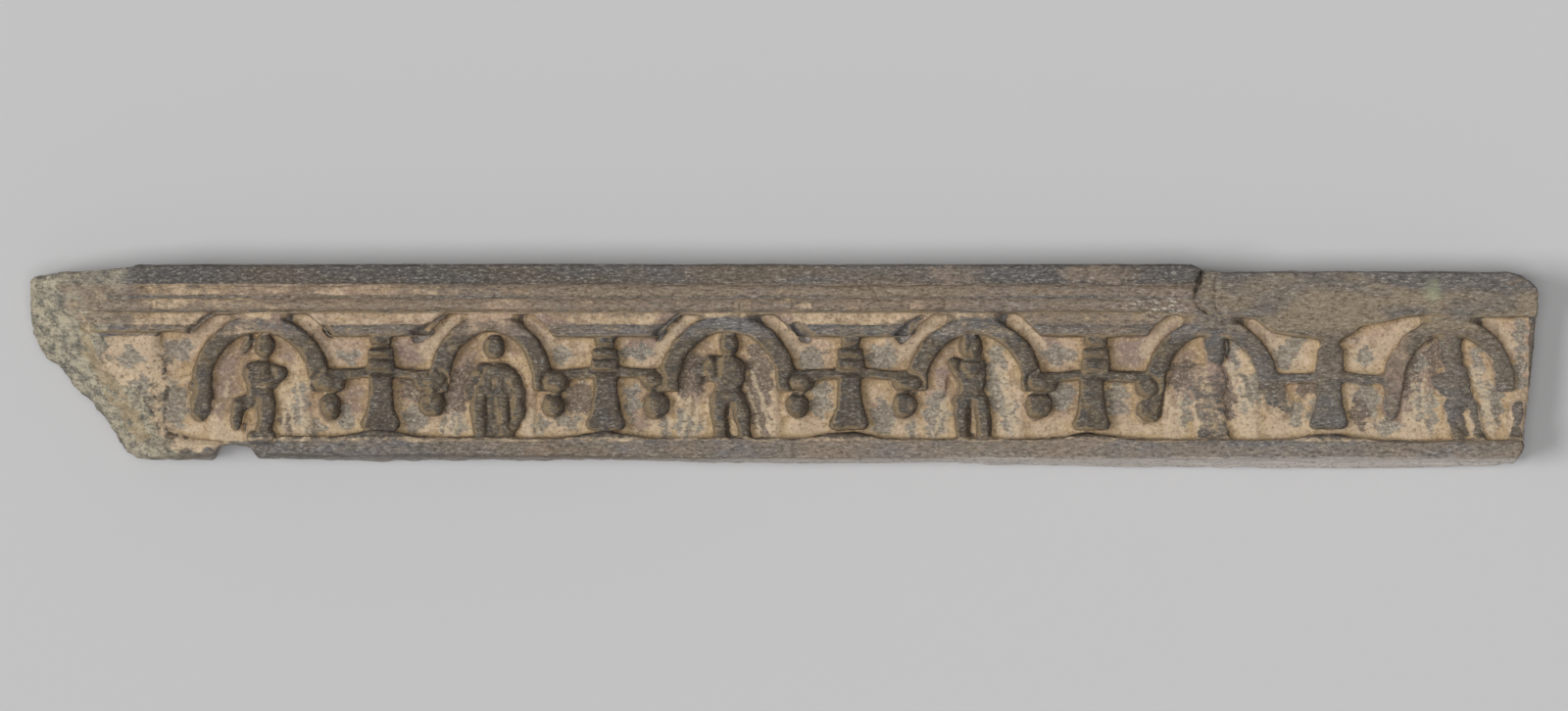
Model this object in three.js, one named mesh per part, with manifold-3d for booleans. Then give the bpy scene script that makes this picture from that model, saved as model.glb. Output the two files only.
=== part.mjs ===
// A long, narrow frieze panel of grey schist from a small shrine, carved in relief.
// Six figures stand under round arches, between squat pilasters, below a moulded cornice.
// The left end is broken off on a slant and the cornice is lost at the right end.
// Units are millimetres. The panel lies on its back: +X runs along it, +Y points to the
// cornice and +Z comes out of the carved face. The origin is on the back, under its middle.
import * as THREE from "three";
import { ConvexGeometry } from "three/addons/geometries/ConvexGeometry.js";
import { mergeVertices } from "three/addons/utils/BufferGeometryUtils.js";
import Module from "manifold-3d";

const wasm = await Module();
wasm.setup();

// The stone as a whole.
const LEFT_TIP = -323.4;
const RIGHT_END = 323.4;
const TOP_EDGE = 43.9;
const LOWER_EDGE = -41;
const LUMP_EDGE = -43.9;

// Heights of the carved levels above the back.
const GROUND = 32;
const REMAINS = 37.4;
const TIE_TOP = 38;
const LEDGE = 39.4;
const PILASTER_TOP = 40.4;
const ARCH_TOP = 40.6;
const SPALL = 40.6;
const BAND_TOP = 41.4;
const CORNICE_TOP = 46;
const ROOT = GROUND - 1;
const ABOVE = 90;

// The arcade.
const ARCH_Y = -7.6;
const ARCH_WIDTH_AT_LEG = 8.6;
const ARCH_WIDTH_AT_CROWN = 7.2;
const ARCH_LEG_DROP = 3;
const ARCH_ROUNDING = 2.3;
const ARCH_STEPS = 14;
const ROOM_WIDTH = 6.4;
const ROOM_HEAD = 22.4;
const KNOB_Y = -6.8;
const KNOB_RADIUS = 4.3;
const KNOB_CREST = GROUND + 7.4;
const BALL_Y = -16.7;
const BALL_RADIUS = 4.9;
const BALL_CREST = GROUND + 6.8;
const TIE_HEIGHT = 4.2;
const TIE_SWELL = 1.3;
const TIE_STEPS = 6;
const FILLET_FOOT = 12.7;
const HEAD_CREST = GROUND + 8.3;

// The plain band along the foot.
const BAND_LEFT = -216;
const BAND_RIGHT = 317;
const BAND_EDGE = -30.4;
const BAND_DROP = 1.8;
const BAND_STEPS = 54;
const SWELL_HEIGHT = 3;
const SWELL_REACH = 11;

// A limb or a fold of a figure is a chain of round lumps, each [x, y, radius] from the
// middle of the arch. A mass is one body drawn tight around its lumps. rise is how far the
// crest stands off the ground of the niche.
const limb = (rise, ...lumps) => ({ rise, lumps, tight: false });
const mass = (rise, ...lumps) => ({ rise, lumps, tight: true });

// One bay for each arch: its middle, its half width, its rise, and the figure in it.
// feet says how the left and right ends of the arch finish.
const BAYS = [
  {
    x: -224.4,
    halfWidth: 29.8,
    rise: 29.3,
    feet: ["worn", "ball"],
    head: { x: 1.6, y: 16, halfWidth: 4.8, halfHeight: 5.5 },
    forms: [
      limb(4.2, [-4.6, 19.4, 2], [-7.4, 14.2, 2]),
      mass(7, [-3.6, 5.4, 4.2], [1, 6.6, 4.4], [2, 2, 4.2], [-1, -3, 4.4]),
      limb(7, [3.4, 6.8, 2.8], [9.4, 4.8, 2.6], [5, 0.6, 2.7], [-1.6, 0, 2.7]),
      mass(6.6, [-2.6, -6.6, 4.2], [2, -6.4, 4.4]),
      limb(7, [2.2, -7, 4.4], [2.8, -12, 4], [1.2, -20, 3]),
      limb(6.6, [-2, -7, 4], [-8.6, -9, 3.5], [-10.4, -13, 3.1], [-10.6, -18.4, 2.2]),
      mass(3.6, [-3.6, -9, 4.4], [-3.4, -18, 3.4], [0, -18, 3]),
      limb(6, [-3.8, -23.2, 3], [3.8, -22.8, 2.8]),
    ],
  },
  {
    x: -125.7,
    halfWidth: 26.5,
    rise: 29.6,
    feet: ["ball", "ball"],
    head: { x: 1.4, y: 15.6, halfWidth: 5, halfHeight: 5.5 },
    forms: [
      mass(5.4, [-3.4, 4.6, 4.6], [6, 4.4, 4.4], [11, -5, 4.4], [-4.8, -11, 4.2]),
      mass(5.4, [-4.6, -10, 4.4], [10.6, -11.4, 4], [-4, -22.4, 3], [7, -22.4, 3]),
      mass(7.2, [-1.4, 4, 4.6], [3.6, 4.6, 4.8], [1.4, -2, 5]),
      limb(7.2, [-4.4, -4, 4.2], [-5.2, -12, 3.9], [-4.2, -22.4, 2.9]),
      limb(7, [4.4, -5, 3.6], [5.8, -14, 3], [6.8, -22.4, 2.7]),
      limb(6.9, [8, 3.4, 3.9], [11.6, -4.8, 4], [11.2, -12.6, 3.6]),
      limb(4.8, [-6.2, 3.8, 3], [-9, -1, 2.7], [-9.8, -5.2, 2.2]),
    ],
  },
  {
    x: -24.1,
    halfWidth: 29.5,
    rise: 29.8,
    feet: ["ball", "ball"],
    head: { x: 0.6, y: 17, halfWidth: 4.4, halfHeight: 5.2 },
    forms: [
      mass(7.3, [0.4, 9.6, 4], [2.6, 5.4, 5.6], [0.4, 2, 4.8], [-0.6, -4, 5.2]),
      mass(7, [-3.6, -7.2, 4.6], [3.2, -7, 4.8]),
      limb(7, [3.6, -8, 4.5], [6, -14.6, 3.9], [7.4, -22.4, 3]),
      limb(6.8, [-4.2, -8, 4.3], [-3.8, -14.6, 3.6], [-3, -22.4, 2.8]),
      mass(4, [0, -10, 4], [-1.4, -22.4, 3], [4.4, -22.4, 3]),
      limb(6, [-3.8, 9, 3.2], [-7.8, 7.4, 2.9], [-6.4, 2.8, 2.5]),
      limb(4, [-8.4, 7, 2.6], [-13.2, 5.4, 3.4], [-13.2, 1, 2.4]),
    ],
  },
  {
    x: 81.7,
    halfWidth: 28.8,
    rise: 28.5,
    feet: ["ball", "ball"],
    head: { x: -2, y: 15.8, halfWidth: 4.8, halfHeight: 5.7 },
    forms: [
      mass(7.2, [-3.2, 7, 4.2], [0.4, 7.4, 4.4], [-1.4, 1, 4.8], [-2.2, -4.6, 5.4]),
      mass(7, [-5, -7, 4.4], [1.2, -7, 4.6]),
      limb(6.4, [2.4, 6.6, 2.8], [2.9, 1, 2.5], [1, -2.4, 2.4]),
      limb(6, [-4.8, 1.4, 2.5], [-8, 5, 2.5]),
      limb(7, [-8.6, 8, 3.4]),
      limb(6.8, [-5.4, -8, 4], [-5.9, -14, 3.3], [-5.4, -22.4, 2.9]),
      limb(7, [1.6, -8, 4.4], [3.4, -13, 3.8], [4.4, -22.4, 3.1]),
      mass(4, [-2, -10, 4], [-2.6, -22.4, 3], [1, -22.4, 3]),
      limb(2.6, [-13.6, 4.6, 2.4], [-14.4, -4, 2.2]),
    ],
  },
  {
    x: 183.3,
    halfWidth: 28.3,
    rise: 28.6,
    feet: ["stump", "smear"],
    head: null,
    forms: [
      limb(7.8, [1, 23.6, 4.6], [1.4, 12.2, 4.7]),
      mass(5.6, [-6, 3.6, 5.6], [1.6, 3, 5.4], [-3.4, -8, 6.6], [-2.4, -14, 5]),
      limb(3.8, [-11.4, 5, 3.2], [-12, -6, 3]),
      mass(4.8, [-4, -12, 4.6], [-3.2, -22.6, 3.8], [1, -22.6, 3]),
      limb(5.8, [0.4, -9, 4.2], [5, -22.6, 3.2]),
    ],
  },
  {
    x: 285.3,
    halfWidth: 28.1,
    rise: 28.2,
    feet: ["stump", "none"],
    head: null,
    forms: [
      limb(7.8, [0, 23.6, 5.2], [0.4, 12.4, 5.2], [2, 6.6, 4.6]),
      mass(7, [3.4, 4.4, 5.4], [4, -1, 5.8], [4.4, -7, 6]),
      mass(5.9, [0.4, 4, 2.4], [-7.4, 1.3, 2.2], [-3, -3, 2.6], [1.6, -3.4, 3]),
      limb(6.6, [1.4, -9, 4.6], [2.8, -16, 3.6], [4.6, -23, 3]),
      limb(6.4, [8.4, -8, 3.5], [10.5, -15.6, 3.2], [12.6, -23, 3]),
      mass(4, [4, -10, 4], [9, -10, 3], [7, -23, 3], [10, -23, 3]),
    ],
  },
];

// One pilaster between each two arches: its middle, its capital's shift and its tie's middle.
const PILASTERS = [
  { x: -173, shift: 0, tieY: -3.7 },
  { x: -76.4, shift: -0.2, tieY: -3.7 },
  { x: 28.1, shift: 0.4, tieY: -4 },
  { x: 131.9, shift: 1.8, tieY: -4.8 },
  { x: 233.7, shift: 0.4, tieY: -5.8 },
];

// The stone's outline seen from the carved side, from the upper left corner clockwise.
const OUTLINE = [
  [-320.9, 38.6], [-304.5, 39.9], [-279.7, 42.3], [-277, TOP_EDGE],
  [175, TOP_EDGE], [179.2, 40.2], [310.8, 40.2], [316, 39],
  [322.4, 34.6], [RIGHT_END, 31], [321.6, 10], [319.4, -12],
  [317.4, -28], [316.6, -36.2], [313.6, LOWER_EDGE], [-25, LOWER_EDGE],
  [-90, -39.9], [-225.2, -39.5],
  [-229.3, -34.4], [-237.3, -33.4], [-242.8, -34.6], [-245.2, -39.5],
  [-268.4, -39.4], [-277.4, -38.4], [-282, -36.4], [-285.2, -32.6], [-286, -29.4],
  [-288.4, -26.2], [-291, -22.2], [-295, -18.4], [-296.8, -15], [-302, -12],
  [-305.4, -7.2], [-309, -2.2], [-311.4, 1], [-316, 3.6], [-319, 7.4],
  [-320.4, 11.4], [-322.6, 15], [-323, 24], [LEFT_TIP, 29], [LEFT_TIP, 36],
];
// The lower edge, which drops a little from left to right.
const FOOT_LINE = [[-330, -39.2], [-90, -39.9], [-25, LOWER_EDGE], [330, LOWER_EDGE]];

// The cornice in section, as [y, z]: a fillet, a hollow, a row of beads, a ledge and a
// lower fillet.
const CORNICE_SECTION = [
  [TOP_EDGE, ROOT], [TOP_EDGE, CORNICE_TOP - 1], [TOP_EDGE - 1, CORNICE_TOP],
  [35.9, CORNICE_TOP], [35, 45.2], [34.4, 43], [32.4, 41.6], [30, 41.4],
  [29.4, 40.6], [28.7, 42], [27.2, 43], [25.4, 43], [23.9, 42], [23.2, 40.2],
  [21.4, LEDGE], [18.6, LEDGE + 0.2], [17.4, 40.9], [13.7, 40.8],
  [13, 39.8], [FILLET_FOOT, ROOT],
];
// What the break has left: a flat face with a ragged lower edge, from the left end of the
// break clockwise.
const BREAK_FACE = [
  [179.2, TOP_EDGE + 5], [340, TOP_EDGE + 5], [340, 21.3], [293, 21.3],
  [279.3, 22.3], [264.6, 20.6], [247.8, 16.4], [236, 9.2], [228.9, 11.3],
  [210, 14.3], [201.6, 20.6], [194, 21.4], [170, 21.4], [170, 29],
];
const BREAK_LINE = [
  [179.6, TOP_EDGE + 5], [175.4, 30], [176.4, 24], [171, 18], [171, 0], [340, 0],
  [340, TOP_EDGE + 5],
];

// The beads lie in pairs of short reels between long barrels, worn away along most of the
// row, so only the pairs that still show are cut.
const REEL_PAIRS = [-270.5, -244.9, -42.8, -18.5, 6.7, 29.4, 54.2, 72.7];
const REEL_LENGTH = 3.2;
const REEL_CUT = 0.9;
const REEL_FLOOR = 41.6;
const BEADS_FOOT = 23.5;
const BEADS_HEAD = 29.1;

// Joins and cuts need plain closed meshes whose corners are shared.
function solid(geometry) {
  const bare = geometry.clone();
  bare.deleteAttribute("normal");
  bare.deleteAttribute("uv");
  const merged = mergeVertices(bare, 1e-4);
  return new wasm.Manifold(
    new wasm.Mesh({
      numProp: 3,
      vertProperties: merged.attributes.position.array,
      triVerts: new Uint32Array(merged.index.array),
    }),
  );
}

const shapeOf = (points) => new THREE.Shape(points.map(([x, y]) => new THREE.Vector2(x, y)));

// A plan drawn in X and Y, raised from low to high. A bevel rounds its upper edge.
function raised(points, low, high, bevel = 0, bevelSteps = 1) {
  const geometry = new THREE.ExtrudeGeometry(shapeOf(points), {
    depth: high - low - bevel,
    bevelEnabled: bevel > 0,
    bevelThickness: bevel,
    bevelSize: bevel,
    bevelOffset: -bevel,
    bevelSegments: bevelSteps,
  });
  geometry.translate(0, 0, low);
  return solid(geometry);
}

// A section drawn in Y and Z, run along X.
function run(section, from, to) {
  const geometry = new THREE.ExtrudeGeometry(shapeOf(section), {
    depth: to - from,
    bevelEnabled: false,
  });
  const along = new THREE.Matrix4().makeBasis(
    new THREE.Vector3(0, 1, 0),
    new THREE.Vector3(0, 0, 1),
    new THREE.Vector3(1, 0, 0),
  );
  geometry.applyMatrix4(along);
  geometry.translate(from, 0, 0);
  return solid(geometry);
}

// A carved round form: steep sides that go down into the ground, and a blunt, worn top.
const DOME_SIDES = 8;
const DOME_SHOULDER = { width: 0.86, height: 0.72 };
const DOME_TOP = { width: 0.44, height: 1 };
function dome(x, y, halfWidth, halfHeight, crest) {
  const foot = { width: 1, height: (ROOT - GROUND) / (crest - GROUND) };
  const corner = 1 / Math.cos(Math.PI / DOME_SIDES);
  return [foot, DOME_SHOULDER, DOME_TOP].flatMap(({ width, height }) =>
    Array.from({ length: DOME_SIDES }, (_, side) => {
      const turn = ((side + 0.5) / DOME_SIDES) * 2 * Math.PI;
      return new THREE.Vector3(
        x + Math.cos(turn) * halfWidth * width * corner,
        y + Math.sin(turn) * halfHeight * width * corner,
        GROUND + (crest - GROUND) * height,
      );
    }),
  );
}

const hull = (points) => solid(new ConvexGeometry(points));
const joined = (solids) => solids.reduce((whole, next) => whole.add(next));

function formSolid(bay, { rise, lumps, tight }) {
  const domes = lumps.map(([x, y, r]) => dome(bay.x + x, ARCH_Y + y, r, r, GROUND + rise));
  if (tight || domes.length === 1) {
    return hull(domes.flat());
  }
  return joined(domes.slice(1).map((end, i) => hull([...domes[i], ...end])));
}

function figure(bay) {
  const forms = bay.forms.map((one) => formSolid(bay, one));
  if (bay.head) {
    const { x, y, halfWidth, halfHeight } = bay.head;
    forms.push(hull(dome(bay.x + x, ARCH_Y + y, halfWidth, halfHeight, HEAD_CREST)));
  }
  return joined(forms);
}

// Points along part of an ellipse about the middle of an arch.
function arc(x, halfWidth, rise, from, to, steps) {
  return Array.from({ length: steps + 1 }, (_, i) => {
    const turn = from + ((to - from) * i) / steps;
    return [x + halfWidth * Math.cos(turn), ARCH_Y + rise * Math.sin(turn)];
  });
}

// The arch is a ring that narrows to its crown, with short legs.
function archRing(bay) {
  const innerHalf = bay.halfWidth - ARCH_WIDTH_AT_LEG;
  const innerRise = bay.rise - ARCH_WIDTH_AT_CROWN;
  const foot = ARCH_Y - ARCH_LEG_DROP;
  const ring = [
    [bay.x + bay.halfWidth, foot],
    ...arc(bay.x, bay.halfWidth, bay.rise, 0, Math.PI, ARCH_STEPS),
    [bay.x - bay.halfWidth, foot],
    [bay.x - innerHalf, foot],
    ...arc(bay.x, innerHalf, innerRise, Math.PI, 0, ARCH_STEPS),
    [bay.x + innerHalf, foot],
  ];
  return raised(ring, ROOT, ARCH_TOP, ARCH_ROUNDING, 2);
}

// Each end of an arch: a knob that turns outwards over a hanging ball, or what is left of it.
function archFoot(bay, side, form) {
  const at = (reach) => bay.x + side * (bay.halfWidth + reach);
  const knob = (to, radius, crest) =>
    hull([
      ...dome(at(-5), KNOB_Y, radius, radius, crest),
      ...dome(at(to), KNOB_Y, radius, radius, crest),
    ]);
  const leg = hull([
    ...dome(at(-4.2), KNOB_Y, 4.2, 4.2, KNOB_CREST),
    ...dome(at(-3.2), BALL_Y - 3, 3.9, 4.4, BALL_CREST - 1),
  ]);
  const smear = hull([
    ...dome(at(-3), KNOB_Y, 5, 4.4, KNOB_CREST - 1),
    ...dome(at(1), BALL_Y - 1, 5.8, 5.4, BALL_CREST - 3),
  ]);
  const ball = hull(dome(at(0), BALL_Y, BALL_RADIUS, BALL_RADIUS * 1.1, BALL_CREST));
  const forms = {
    ball: [knob(2.8, KNOB_RADIUS, KNOB_CREST), ball],
    worn: [leg, knob(2.2, KNOB_RADIUS * 0.75, KNOB_CREST - 2)],
    stump: [leg],
    smear: [smear],
    none: [],
  };
  return forms[form];
}

// A pilaster: a shaft that spreads at its foot, and a capital of three blocks on a neck.
function pilaster({ x, shift, tieY }) {
  const mirrored = (halves) => [
    ...halves.map(([half, y]) => [x - half, y]),
    ...halves.toReversed().map(([half, y]) => [x + half, y]),
  ];
  const shaft = mirrored([
    [4.9, tieY], [5.1, -12], [5.9, -18], [7.1, -22], [8.5, -25], [7, -27.2],
  ]);
  const block = (half, low, high, crest, rounding) => {
    const [left, right] = [x + shift - half, x + shift + half];
    const plan = [[left, low], [right, low], [right, high], [left, high]];
    return raised(plan, ROOT, crest, rounding);
  };
  return joined([
    raised(shaft, ROOT, PILASTER_TOP, 1.5),
    block(3.4, tieY, FILLET_FOOT + 1, PILASTER_TOP - 2.4, 1),
    block(5.8, tieY + 1.6, 3, PILASTER_TOP - 0.2, 1.6),
    block(5.4, 3.5, 7.6, PILASTER_TOP - 0.4, 1.5),
    block(4.3, 9, FILLET_FOOT + 0.6, PILASTER_TOP - 0.8, 1.4),
  ]);
}

const swell = (x, middle) => Math.exp(-(((x - middle) / SWELL_REACH) ** 2));

// The bar that ties one arch to the next bows up over the neck of the pilaster.
function tie({ x, tieY }, from, to) {
  const edge = (half) =>
    Array.from({ length: TIE_STEPS + 1 }, (_, i) => {
      const at = from + ((to - from) * i) / TIE_STEPS;
      return [at, tieY + half + TIE_SWELL * swell(at, x)];
    });
  const lower = edge(-TIE_HEIGHT / 2);
  const upper = edge(TIE_HEIGHT / 2);
  return raised([...lower, ...upper.reverse()], ROOT, TIE_TOP, 1);
}

// The plain band along the foot, which swells up under each pilaster.
function baseBand() {
  const along = (x) => (x - BAND_LEFT) / (BAND_RIGHT - BAND_LEFT);
  const swells = (x) => PILASTERS.reduce((sum, one) => sum + swell(x, one.x), 0);
  const edge = (x) => BAND_EDGE - BAND_DROP * along(x) + SWELL_HEIGHT * swells(x);
  const points = Array.from({ length: BAND_STEPS + 1 }, (_, i) => {
    const x = BAND_RIGHT + ((BAND_LEFT - BAND_RIGHT) * i) / BAND_STEPS;
    return [x, edge(x)];
  });
  points.push([BAND_LEFT - 9, LOWER_EDGE], [BAND_RIGHT, LOWER_EDGE]);
  return raised(points, ROOT, BAND_TOP).intersect(raised(OUTLINE, 0, ABOVE));
}

// The room cut into the cornice on both sides of each arch, so that its flanks stand free.
function archRoom(bay) {
  const half = bay.halfWidth + ROOM_WIDTH;
  const rise = bay.rise + ROOM_WIDTH;
  const limit = Math.asin((ROOM_HEAD - ARCH_Y) / rise);
  const plan = [
    ...arc(bay.x, half, rise, 0, limit, 6),
    ...arc(bay.x, half, rise, Math.PI - limit, Math.PI, 6),
  ];
  return raised(plan, GROUND, ABOVE);
}

// The room runs out towards the crown, where the arch grows out of the ledge.
function crownBed(bay) {
  const crown = ARCH_Y + bay.rise;
  const corners = [];
  for (const side of [-1, 1]) {
    for (const y of [crown - 3.6, ROOM_HEAD]) {
      corners.push(new THREE.Vector3(bay.x + side * 8, y, LEDGE));
    }
    for (const y of [crown - 7.4, ROOM_HEAD]) {
      corners.push(new THREE.Vector3(bay.x + side * 17, y, ROOT));
    }
  }
  return hull(corners);
}

// The worn foot of the moulding that closed the right end.
function endRemains() {
  const plan = [
    [317.8, -14], [314, -13.6], [311.4, -16], [309.6, -25], [311, -33], [316.4, -33],
  ];
  return raised(plan, ROOT, GROUND + 4.4, 1);
}

// Narrow cuts across the row of beads, three for each pair of reels.
function reelCuts() {
  const half = REEL_CUT / 2;
  const cut = (x) => {
    const plan = [
      [x - half, BEADS_FOOT], [x + half, BEADS_FOOT],
      [x + half, BEADS_HEAD], [x - half, BEADS_HEAD],
    ];
    return raised(plan, REEL_FLOOR, ABOVE);
  };
  const steps = [-REEL_LENGTH, 0, REEL_LENGTH];
  return joined(REEL_PAIRS.flatMap((middle) => steps.map((step) => cut(middle + step))));
}

// What is left of the end pilaster, next to the broken end.
function leftRemains() {
  const plan = [
    [-336, 17], [-267, 17], [-267.6, 8], [-264, 2], [-263.4, -8],
    [-264.6, -18], [-262, -27], [-253, -31.6], [-241, -32], [-241, -48], [-336, -48],
  ];
  return raised(plan, ROOT, REMAINS, 2.6).intersect(raised(OUTLINE, 0, ABOVE));
}

// A slanting cut from one x to another: everything above height(x, y) is taken away.
const REACH = 400;
function cutAbove(height, from, to) {
  const corners = [from, to].flatMap((x) =>
    [-REACH, REACH].flatMap((y) => [
      new THREE.Vector3(x, y, height(x, y)),
      new THREE.Vector3(x, y, ABOVE + REACH),
    ]),
  );
  return hull(corners);
}

// The slanting break at the left end, and the worn corner above it.
const breakHeight = (x, y) => 42 + 0.7 * (x + 262) + 0.48 * (y + 30);
const cornerHeight = (x, y) => 45 + 0.24 * (x + 277) - 0.1 * (y - 38);

// The cornice is worn down to its broken end.
function corniceWear() {
  const from = 138;
  const to = 177;
  const start = 43.4;
  const low = (x) => start - ((start - SPALL) * (x - from)) / (to - from);
  const strip = [[from, 12], [to, 12], [to, 29.4], [from, 29.4]];
  return cutAbove(low, from, to).intersect(raised(strip, GROUND, ABOVE));
}

// The lower arris is worn to a slope.
function lowerArris() {
  const out = LOWER_EDGE - 9;
  const slope = ([x, edge]) =>
    [
      [out, ABOVE], [out, 26], [edge, 26], [edge + 1.6, BAND_TOP], [edge + 1.6, ABOVE],
    ].map(([y, z]) => new THREE.Vector3(x, y, z));
  return joined(FOOT_LINE.slice(1).map((end, i) => hull([...slope(FOOT_LINE[i]), ...slope(end)])));
}

// The rough underside bulges towards the right end.
function rightLump() {
  const along = [
    { x: 62, y: LOWER_EDGE + 2, top: 34 },
    { x: 90, y: -41.8, top: 16 },
    { x: 215, y: LUMP_EDGE, top: 12 },
    { x: 262, y: LUMP_EDGE, top: 12 },
    { x: 306, y: -42.4, top: 16 },
    { x: 314, y: LOWER_EDGE + 3, top: 33 },
  ];
  return hull(along.flatMap(({ x, y, top }) => [0, top].map((z) => new THREE.Vector3(x, y, z))));
}

function cornice() {
  const whole = run(CORNICE_SECTION, -330, 190);
  const lost = joined([raised(BREAK_LINE, ROOT, ABOVE), corniceWear(), reelCuts()]);
  return whole
    .subtract(lost)
    .subtract(joined(BAYS.map(archRoom)))
    .add(raised(BREAK_FACE, ROOT, SPALL))
    .intersect(raised(OUTLINE, ROOT, ABOVE));
}

function panel() {
  const ties = PILASTERS.map((one, i) => {
    const [before, after] = [BAYS[i], BAYS[i + 1]];
    return tie(one, before.x + before.halfWidth - 2, after.x - after.halfWidth + 2);
  });
  const feet = BAYS.flatMap((bay) => [
    ...archFoot(bay, -1, bay.feet[0]),
    ...archFoot(bay, 1, bay.feet[1]),
  ]);
  const carved = joined([
    raised(OUTLINE, 0, GROUND),
    cornice(),
    baseBand(),
    leftRemains(),
    endRemains(),
    rightLump(),
    ...ties,
    ...feet,
    ...BAYS.map(crownBed),
    ...BAYS.map(archRing),
    ...PILASTERS.map(pilaster),
    ...BAYS.map(figure),
  ]);
  const losses = joined([
    cutAbove(breakHeight, -340, -180),
    cutAbove(cornerHeight, -340, -277),
    lowerArris(),
  ]);
  return carved.subtract(losses);
}

function geometryOf(manifold) {
  const mesh = manifold.getMesh();
  const geometry = new THREE.BufferGeometry();
  geometry.setAttribute("position", new THREE.BufferAttribute(mesh.vertProperties, 3));
  geometry.setIndex(new THREE.BufferAttribute(mesh.triVerts, 1));
  return geometry;
}

const schist = new THREE.MeshStandardMaterial({ color: 0x7c7364, roughness: 0.85, metalness: 0 });
const relief = new THREE.Mesh(geometryOf(panel()), schist);
relief.name = "relief_panel";

const group = new THREE.Group();
group.add(relief);
export default group;
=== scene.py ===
# %% [markdown]
# # A carved schist frieze, as an object on a table
# The panel is one long stone from a small shrine. Six worn figures stand under round arches,
# below a moulded cornice. The left end is broken off on a slant, and the right third of the
# cornice has flaked away. The imported model gives the true block and the main carving. This
# script gives that carving its worn skin, its cracks and its earth-stained colours, with some
# painted light and painted shade among them.

# %% The frame
import math

import bpy
import numpy as np
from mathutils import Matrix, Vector


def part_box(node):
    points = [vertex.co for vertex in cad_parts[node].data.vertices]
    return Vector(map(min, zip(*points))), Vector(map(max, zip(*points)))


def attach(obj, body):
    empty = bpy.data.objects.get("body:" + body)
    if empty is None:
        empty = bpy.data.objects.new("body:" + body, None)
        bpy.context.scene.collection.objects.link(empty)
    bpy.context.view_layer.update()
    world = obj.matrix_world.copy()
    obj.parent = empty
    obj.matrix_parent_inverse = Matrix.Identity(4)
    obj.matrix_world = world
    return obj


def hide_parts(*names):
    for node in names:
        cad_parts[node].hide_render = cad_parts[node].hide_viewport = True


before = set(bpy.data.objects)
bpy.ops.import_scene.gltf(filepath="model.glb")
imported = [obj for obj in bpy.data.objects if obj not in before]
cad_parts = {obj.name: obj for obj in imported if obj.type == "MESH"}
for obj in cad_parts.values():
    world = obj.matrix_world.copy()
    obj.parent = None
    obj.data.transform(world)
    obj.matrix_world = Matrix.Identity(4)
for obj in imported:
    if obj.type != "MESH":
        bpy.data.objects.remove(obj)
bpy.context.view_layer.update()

MM = 0.001
low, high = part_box("relief_panel")
print("the block is", [round(size / MM, 1) for size in high - low], "mm")

# %% [markdown]
# ## Camera
# The stone lies on its back and is seen from straight above, a little off its middle, as in
# the photograph. A long lens far away keeps the two ends undistorted. The lens follows from
# the width that the frame takes in, so it is worked out and not guessed.

# %% Camera
SENSOR = 36
VIEW_WIDTH = 672 * MM
VIEW_MIDDLE_Y = 4.6 * MM
CAMERA_HEIGHT = 9.0
FACE_HEIGHT = 40 * MM
bpy.ops.object.camera_add(location=(0, VIEW_MIDDLE_Y, FACE_HEIGHT + CAMERA_HEIGHT), rotation=(0, 0, 0))
camera = bpy.context.object
camera.name = "camera"
camera.data.sensor_width = SENSOR
camera.data.lens = SENSOR * CAMERA_HEIGHT / VIEW_WIDTH
bpy.context.scene.camera = camera
print("lens", round(camera.data.lens, 1), "mm")

# %% [markdown]
# ## Table and light
# The stone lies on plain pale grey paper. Its shadow is dark and even for some way to the right,
# about a centimetre wide above, and hardly seen below. So two lamps of modest size stand high
# up: one over the stone and a little in front, the other to its left. Sun lamps keep the tone
# even over the whole length. A dim warm world fills the shadows.

# %% Table and light
PAPER_SIZE = 6.0
PAPER_TONE = (0.512, 0.512, 0.518, 1)
# Each lamp has the direction that it shines from, its strength, and its width in degrees.
LAMPS = {
    "side_lamp": (Vector((-0.60, -0.07, 1.0)), 1.60, 22),
    "top_lamp": (Vector((0.0, -0.06, 1.0)), 1.12, 22),
}
FILL_STRENGTH = 0.27
FILL_TINT = (1.0, 0.98, 0.95, 1)
bpy.ops.mesh.primitive_plane_add(size=PAPER_SIZE, location=(0, 0, low.z))
paper = bpy.context.object
paper.name = "paper"
bpy.ops.object.transform_apply(location=True, rotation=True, scale=True)

for name, (direction, strength, spread) in LAMPS.items():
    bpy.ops.object.light_add(type="SUN", location=direction)
    lamp = bpy.context.object
    lamp.name = name
    lamp.data.energy = strength
    lamp.data.angle = math.radians(spread)
    lamp.rotation_euler = (-direction).to_track_quat("-Z", "Y").to_euler()

world = bpy.data.worlds.new("soft_room")
world.use_nodes = True
fill = world.node_tree.nodes["Background"]
fill.inputs["Color"].default_value = FILL_TINT
fill.inputs["Strength"].default_value = FILL_STRENGTH
bpy.context.scene.world = world
bpy.context.scene.view_settings.view_transform = "Standard"
print("light and paper are set")

# %% [markdown]
# ## The block
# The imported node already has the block, the mouldings, the arches and rough figures as flat
# facets. Its own mesh is never touched. A copy has its loose triangles merged, and everything
# else is carved into that copy.

# %% A copy of the block
MERGE_WITHIN = 0.002 * MM


def select_only(piece):
    """Make one object the only selected one, and the active one."""
    bpy.ops.object.select_all(action="DESELECT")
    piece.select_set(True)
    bpy.context.view_layer.objects.active = piece


def finish_with(piece, kind, **settings):
    """Add one modifier to a piece and apply it at once."""
    select_only(piece)
    bpy.ops.object.modifier_add(type=kind)
    modifier = piece.modifiers[-1]
    for name, value in settings.items():
        setattr(modifier, name, value)
    bpy.ops.object.modifier_apply(modifier=modifier.name)


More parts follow.
